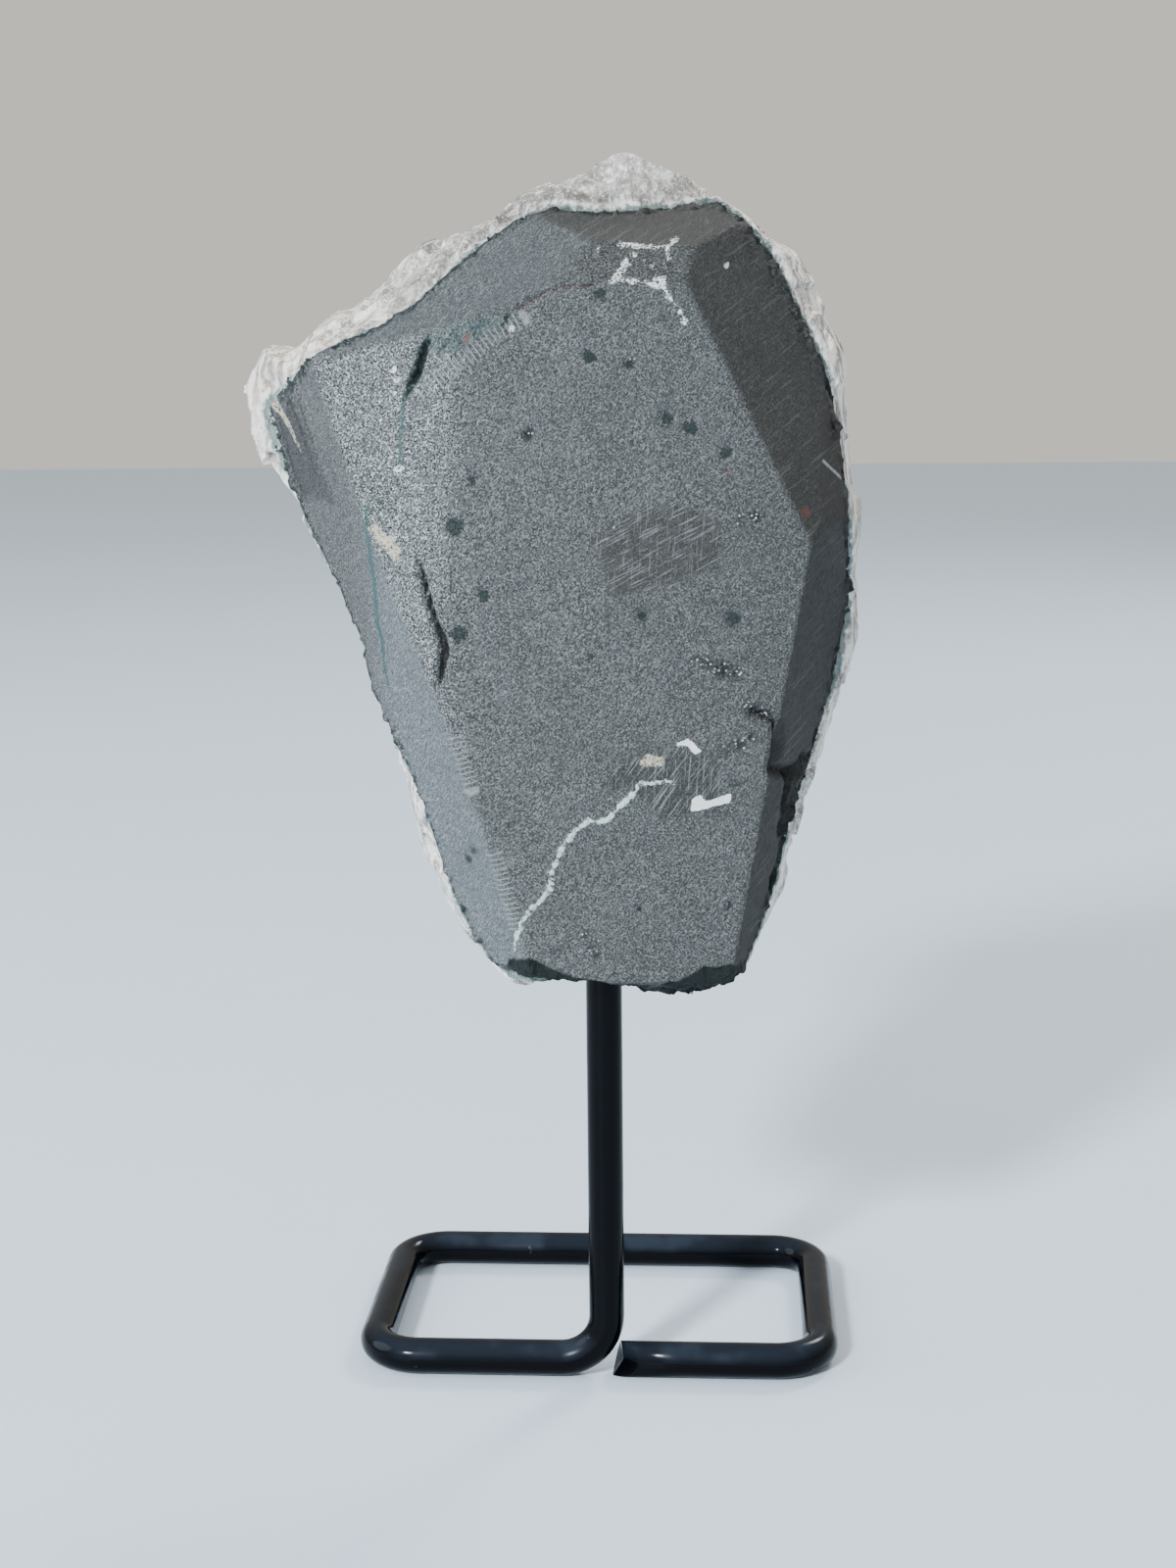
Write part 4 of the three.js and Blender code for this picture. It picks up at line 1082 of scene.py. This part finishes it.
standSetup = {
    "radius": 3.0, "width": 77.3, "depth": 49.5, "bend": 8.0, "postX": 1.97, "postTop": 85.0,
    "sides": 32, "bendSteps": 14, "straightStep": 2.2,    # mm
    "startX": 12.0,
    "endCuts": ((3.6, 0.0, 0.23), (3.7, -1.2, 0.35)),   # X of each cut, and its rise per mm of Y and of Z
    "litWay": (0.0, -0.55, 0.75), "litRange": (0.62, 0.3),   # side of the rod that takes the painted reflection, a bluish band along its front upper side
    "paint": (0.0006, 0.0009, 0.0020), "metal": (0.16, 0.155, 0.15), "paintedReflection": (0.020, 0.028, 0.042),
}


# Points and directions along the centre line, from the sheared end to the top of the post
def rodPath(setup):
    w, d, z, r = setup["width"] / 2, setup["depth"] / 2, setup["radius"], setup["bend"]
    corners = [Vector(c) for c in ((setup["startX"], -d, z), (w, -d, z), (w, d, z), (-w, d, z), (-w, -d, z),
                                   (setup["postX"], -d, z), (setup["postX"], -d, setup["postTop"]))]
    path = []

    def straight(start, end):
        way = end - start
        count = max(1, round(way.length / setup["straightStep"]))
        path.extend((start + way * i / count, way.normalized()) for i in range(count))

    begin = corners[0]
    for before, corner, after in zip(corners, corners[1:], corners[2:]):
        into, out = (corner - before).normalized(), (after - corner).normalized()
        straight(begin, corner - into * r)
        middle = corner - into * r + out * r
        for i in range(setup["bendSteps"]):
            angle = i / setup["bendSteps"] * math.pi / 2
            path.append((middle - out * r * math.cos(angle) + into * r * math.sin(angle),
                         into * math.cos(angle) + out * math.sin(angle)))
        begin = corner + out * r
    straight(begin, corners[-1])
    path.append((corners[-1], (corners[-1] - corners[-2]).normalized()))
    return path


def makeStand(setup):
    path = rodPath(setup)
    sides = setup["sides"]
    points = []
    side = Vector((0, 0, -1))
    for place, way in path:
        side = (side - way * side.dot(way)).normalized()
        other = way.cross(side)
        for k in range(sides):
            angle = (k + 0.5) * 2 * math.pi / sides
            point = place + (side * math.cos(angle) + other * math.sin(angle)) * setup["radius"]
            points.append(list(point))
    for point in points[:sides]:
        dy, dz = point[1] + setup["depth"] / 2, point[2] - setup["radius"]
        point[0] = max(x + perY * dy + perZ * dz for x, perY, perZ in setup["endCuts"])
    faces = []
    for ring in range(0, (len(path) - 1) * sides, sides):
        faces += [[ring + k, ring + (k + 1) % sides, ring + sides + (k + 1) % sides, ring + sides + k]
                  for k in range(sides)]
    points.append(list(np.mean(points[:sides], axis=0)))
    points.append(list(path[-1][0]))
    first, top = len(points) - 2, len(points) - 1
    start = (len(path) - 1) * sides
    faces += [[first, (k + 1) % sides, k] for k in range(sides)]
    faces += [[top, start + k, start + (k + 1) % sides] for k in range(sides)]
    piece = meshObject("bent_rod_stand", toFrame(points), faces, smooth=True)
    work = bmesh.new()
    work.from_mesh(piece.data)
    bmesh.ops.recalc_face_normals(work, faces=work.faces)
    for face in work.faces:
        face.smooth = len(face.verts) == 4
    work.to_mesh(piece.data)
    work.free()
    litWay = readNormals(piece) @ np.array(setup["litWay"])
    writeField(piece, "lit", fade(litWay, *setup["litRange"]))
    piece.data.update()
    return piece


def paintMaterial(setup):
    material, shader, surface = newMaterial("blackRodPaint", {"Specular IOR Level": 0.09})
    place = shader.place()
    wear = shader.group(sharedEffects["wear"], Place=place, Amount=0.30, Size=0.0011)
    color = shader.mix(shader.times(wear["Chips"], 0.7), setup["paint"], setup["metal"])
    # Painted reflection: a bluish band on the rod's front upper side stands for the light surroundings it
    # reflects, broken up by the scuffs
    paintedReflection = shader.times(shader.attribute("lit"), shader.ramp(wear["Scuffs"], 0, 1, 0.55, 1.0))
    color = shader.mix(paintedReflection, color, setup["paintedReflection"])
    shader.plug(surface.inputs["Base Color"], color)
    shader.plug(surface.inputs["Roughness"], shader.ramp(wear["Scuffs"], 0, 1, 0.12, 0.26))
    peel = shader.noise(place, 420, 2, 0.5)
    relief = shader.minus(peel, shader.times(wear["Chips"], 0.8))
    shader.plug(surface.inputs["Normal"], shader.bump(relief, 0.12, 0.0003))
    return material


# Floor

floorSetup = {"size": 6.0, "color": (0.68, 0.81, 0.97)}


def makeFloor(setup):
    s = setup["size"] / 2
    floor = meshObject("floor", [(-s, -s, 0), (s, -s, 0), (s, s, 0), (-s, s, 0)], [[0, 1, 2, 3]])
    material, shader, surface = newMaterial("paleFloor", {"Roughness": 0.55, "Specular IOR Level": 0.4})
    place = shader.place()
    tone = shader.noise(place, 40, 3, 0.6)
    darker = tuple(v * 0.96 for v in setup["color"])
    shader.plug(surface.inputs["Base Color"], shader.mix(tone, setup["color"], darker))
    shader.plug(surface.inputs["Normal"], shader.bump(shader.noise(place, 900, 3, 0.6), 0.12, 0.0004))
    floor.data.materials.append(material)


makeCamera(viewSetup)
makeStudio(lightSetup)
makeFloor(floorSetup)
print("camera, lights and floor ready")
finishPiece(makeStand(standSetup), "black_rod", paintMaterial(standSetup), "stand_rod")
print("stand ready")
finishPiece(makeBasalt(basaltSetup, basaltMarks), "basalt", basaltMaterial(basaltSetup), "basalt_matrix")
print("basalt ready")
crust = makeCrust(crustSetup)
druseLook = druseMaterial(druseSetup)
druse = makeDruse(crust, druseSetup, druseLook)
finishPiece(crust, "crust", crustMaterial(crustSetup), "zeolite_crust")
finishPiece(druse, "crust", druseLook)
print("crust and its bed of fine crystals ready")
makeCrystals(crystalSetup, crystalMaterial(crystalSetup))
print("crystals ready")
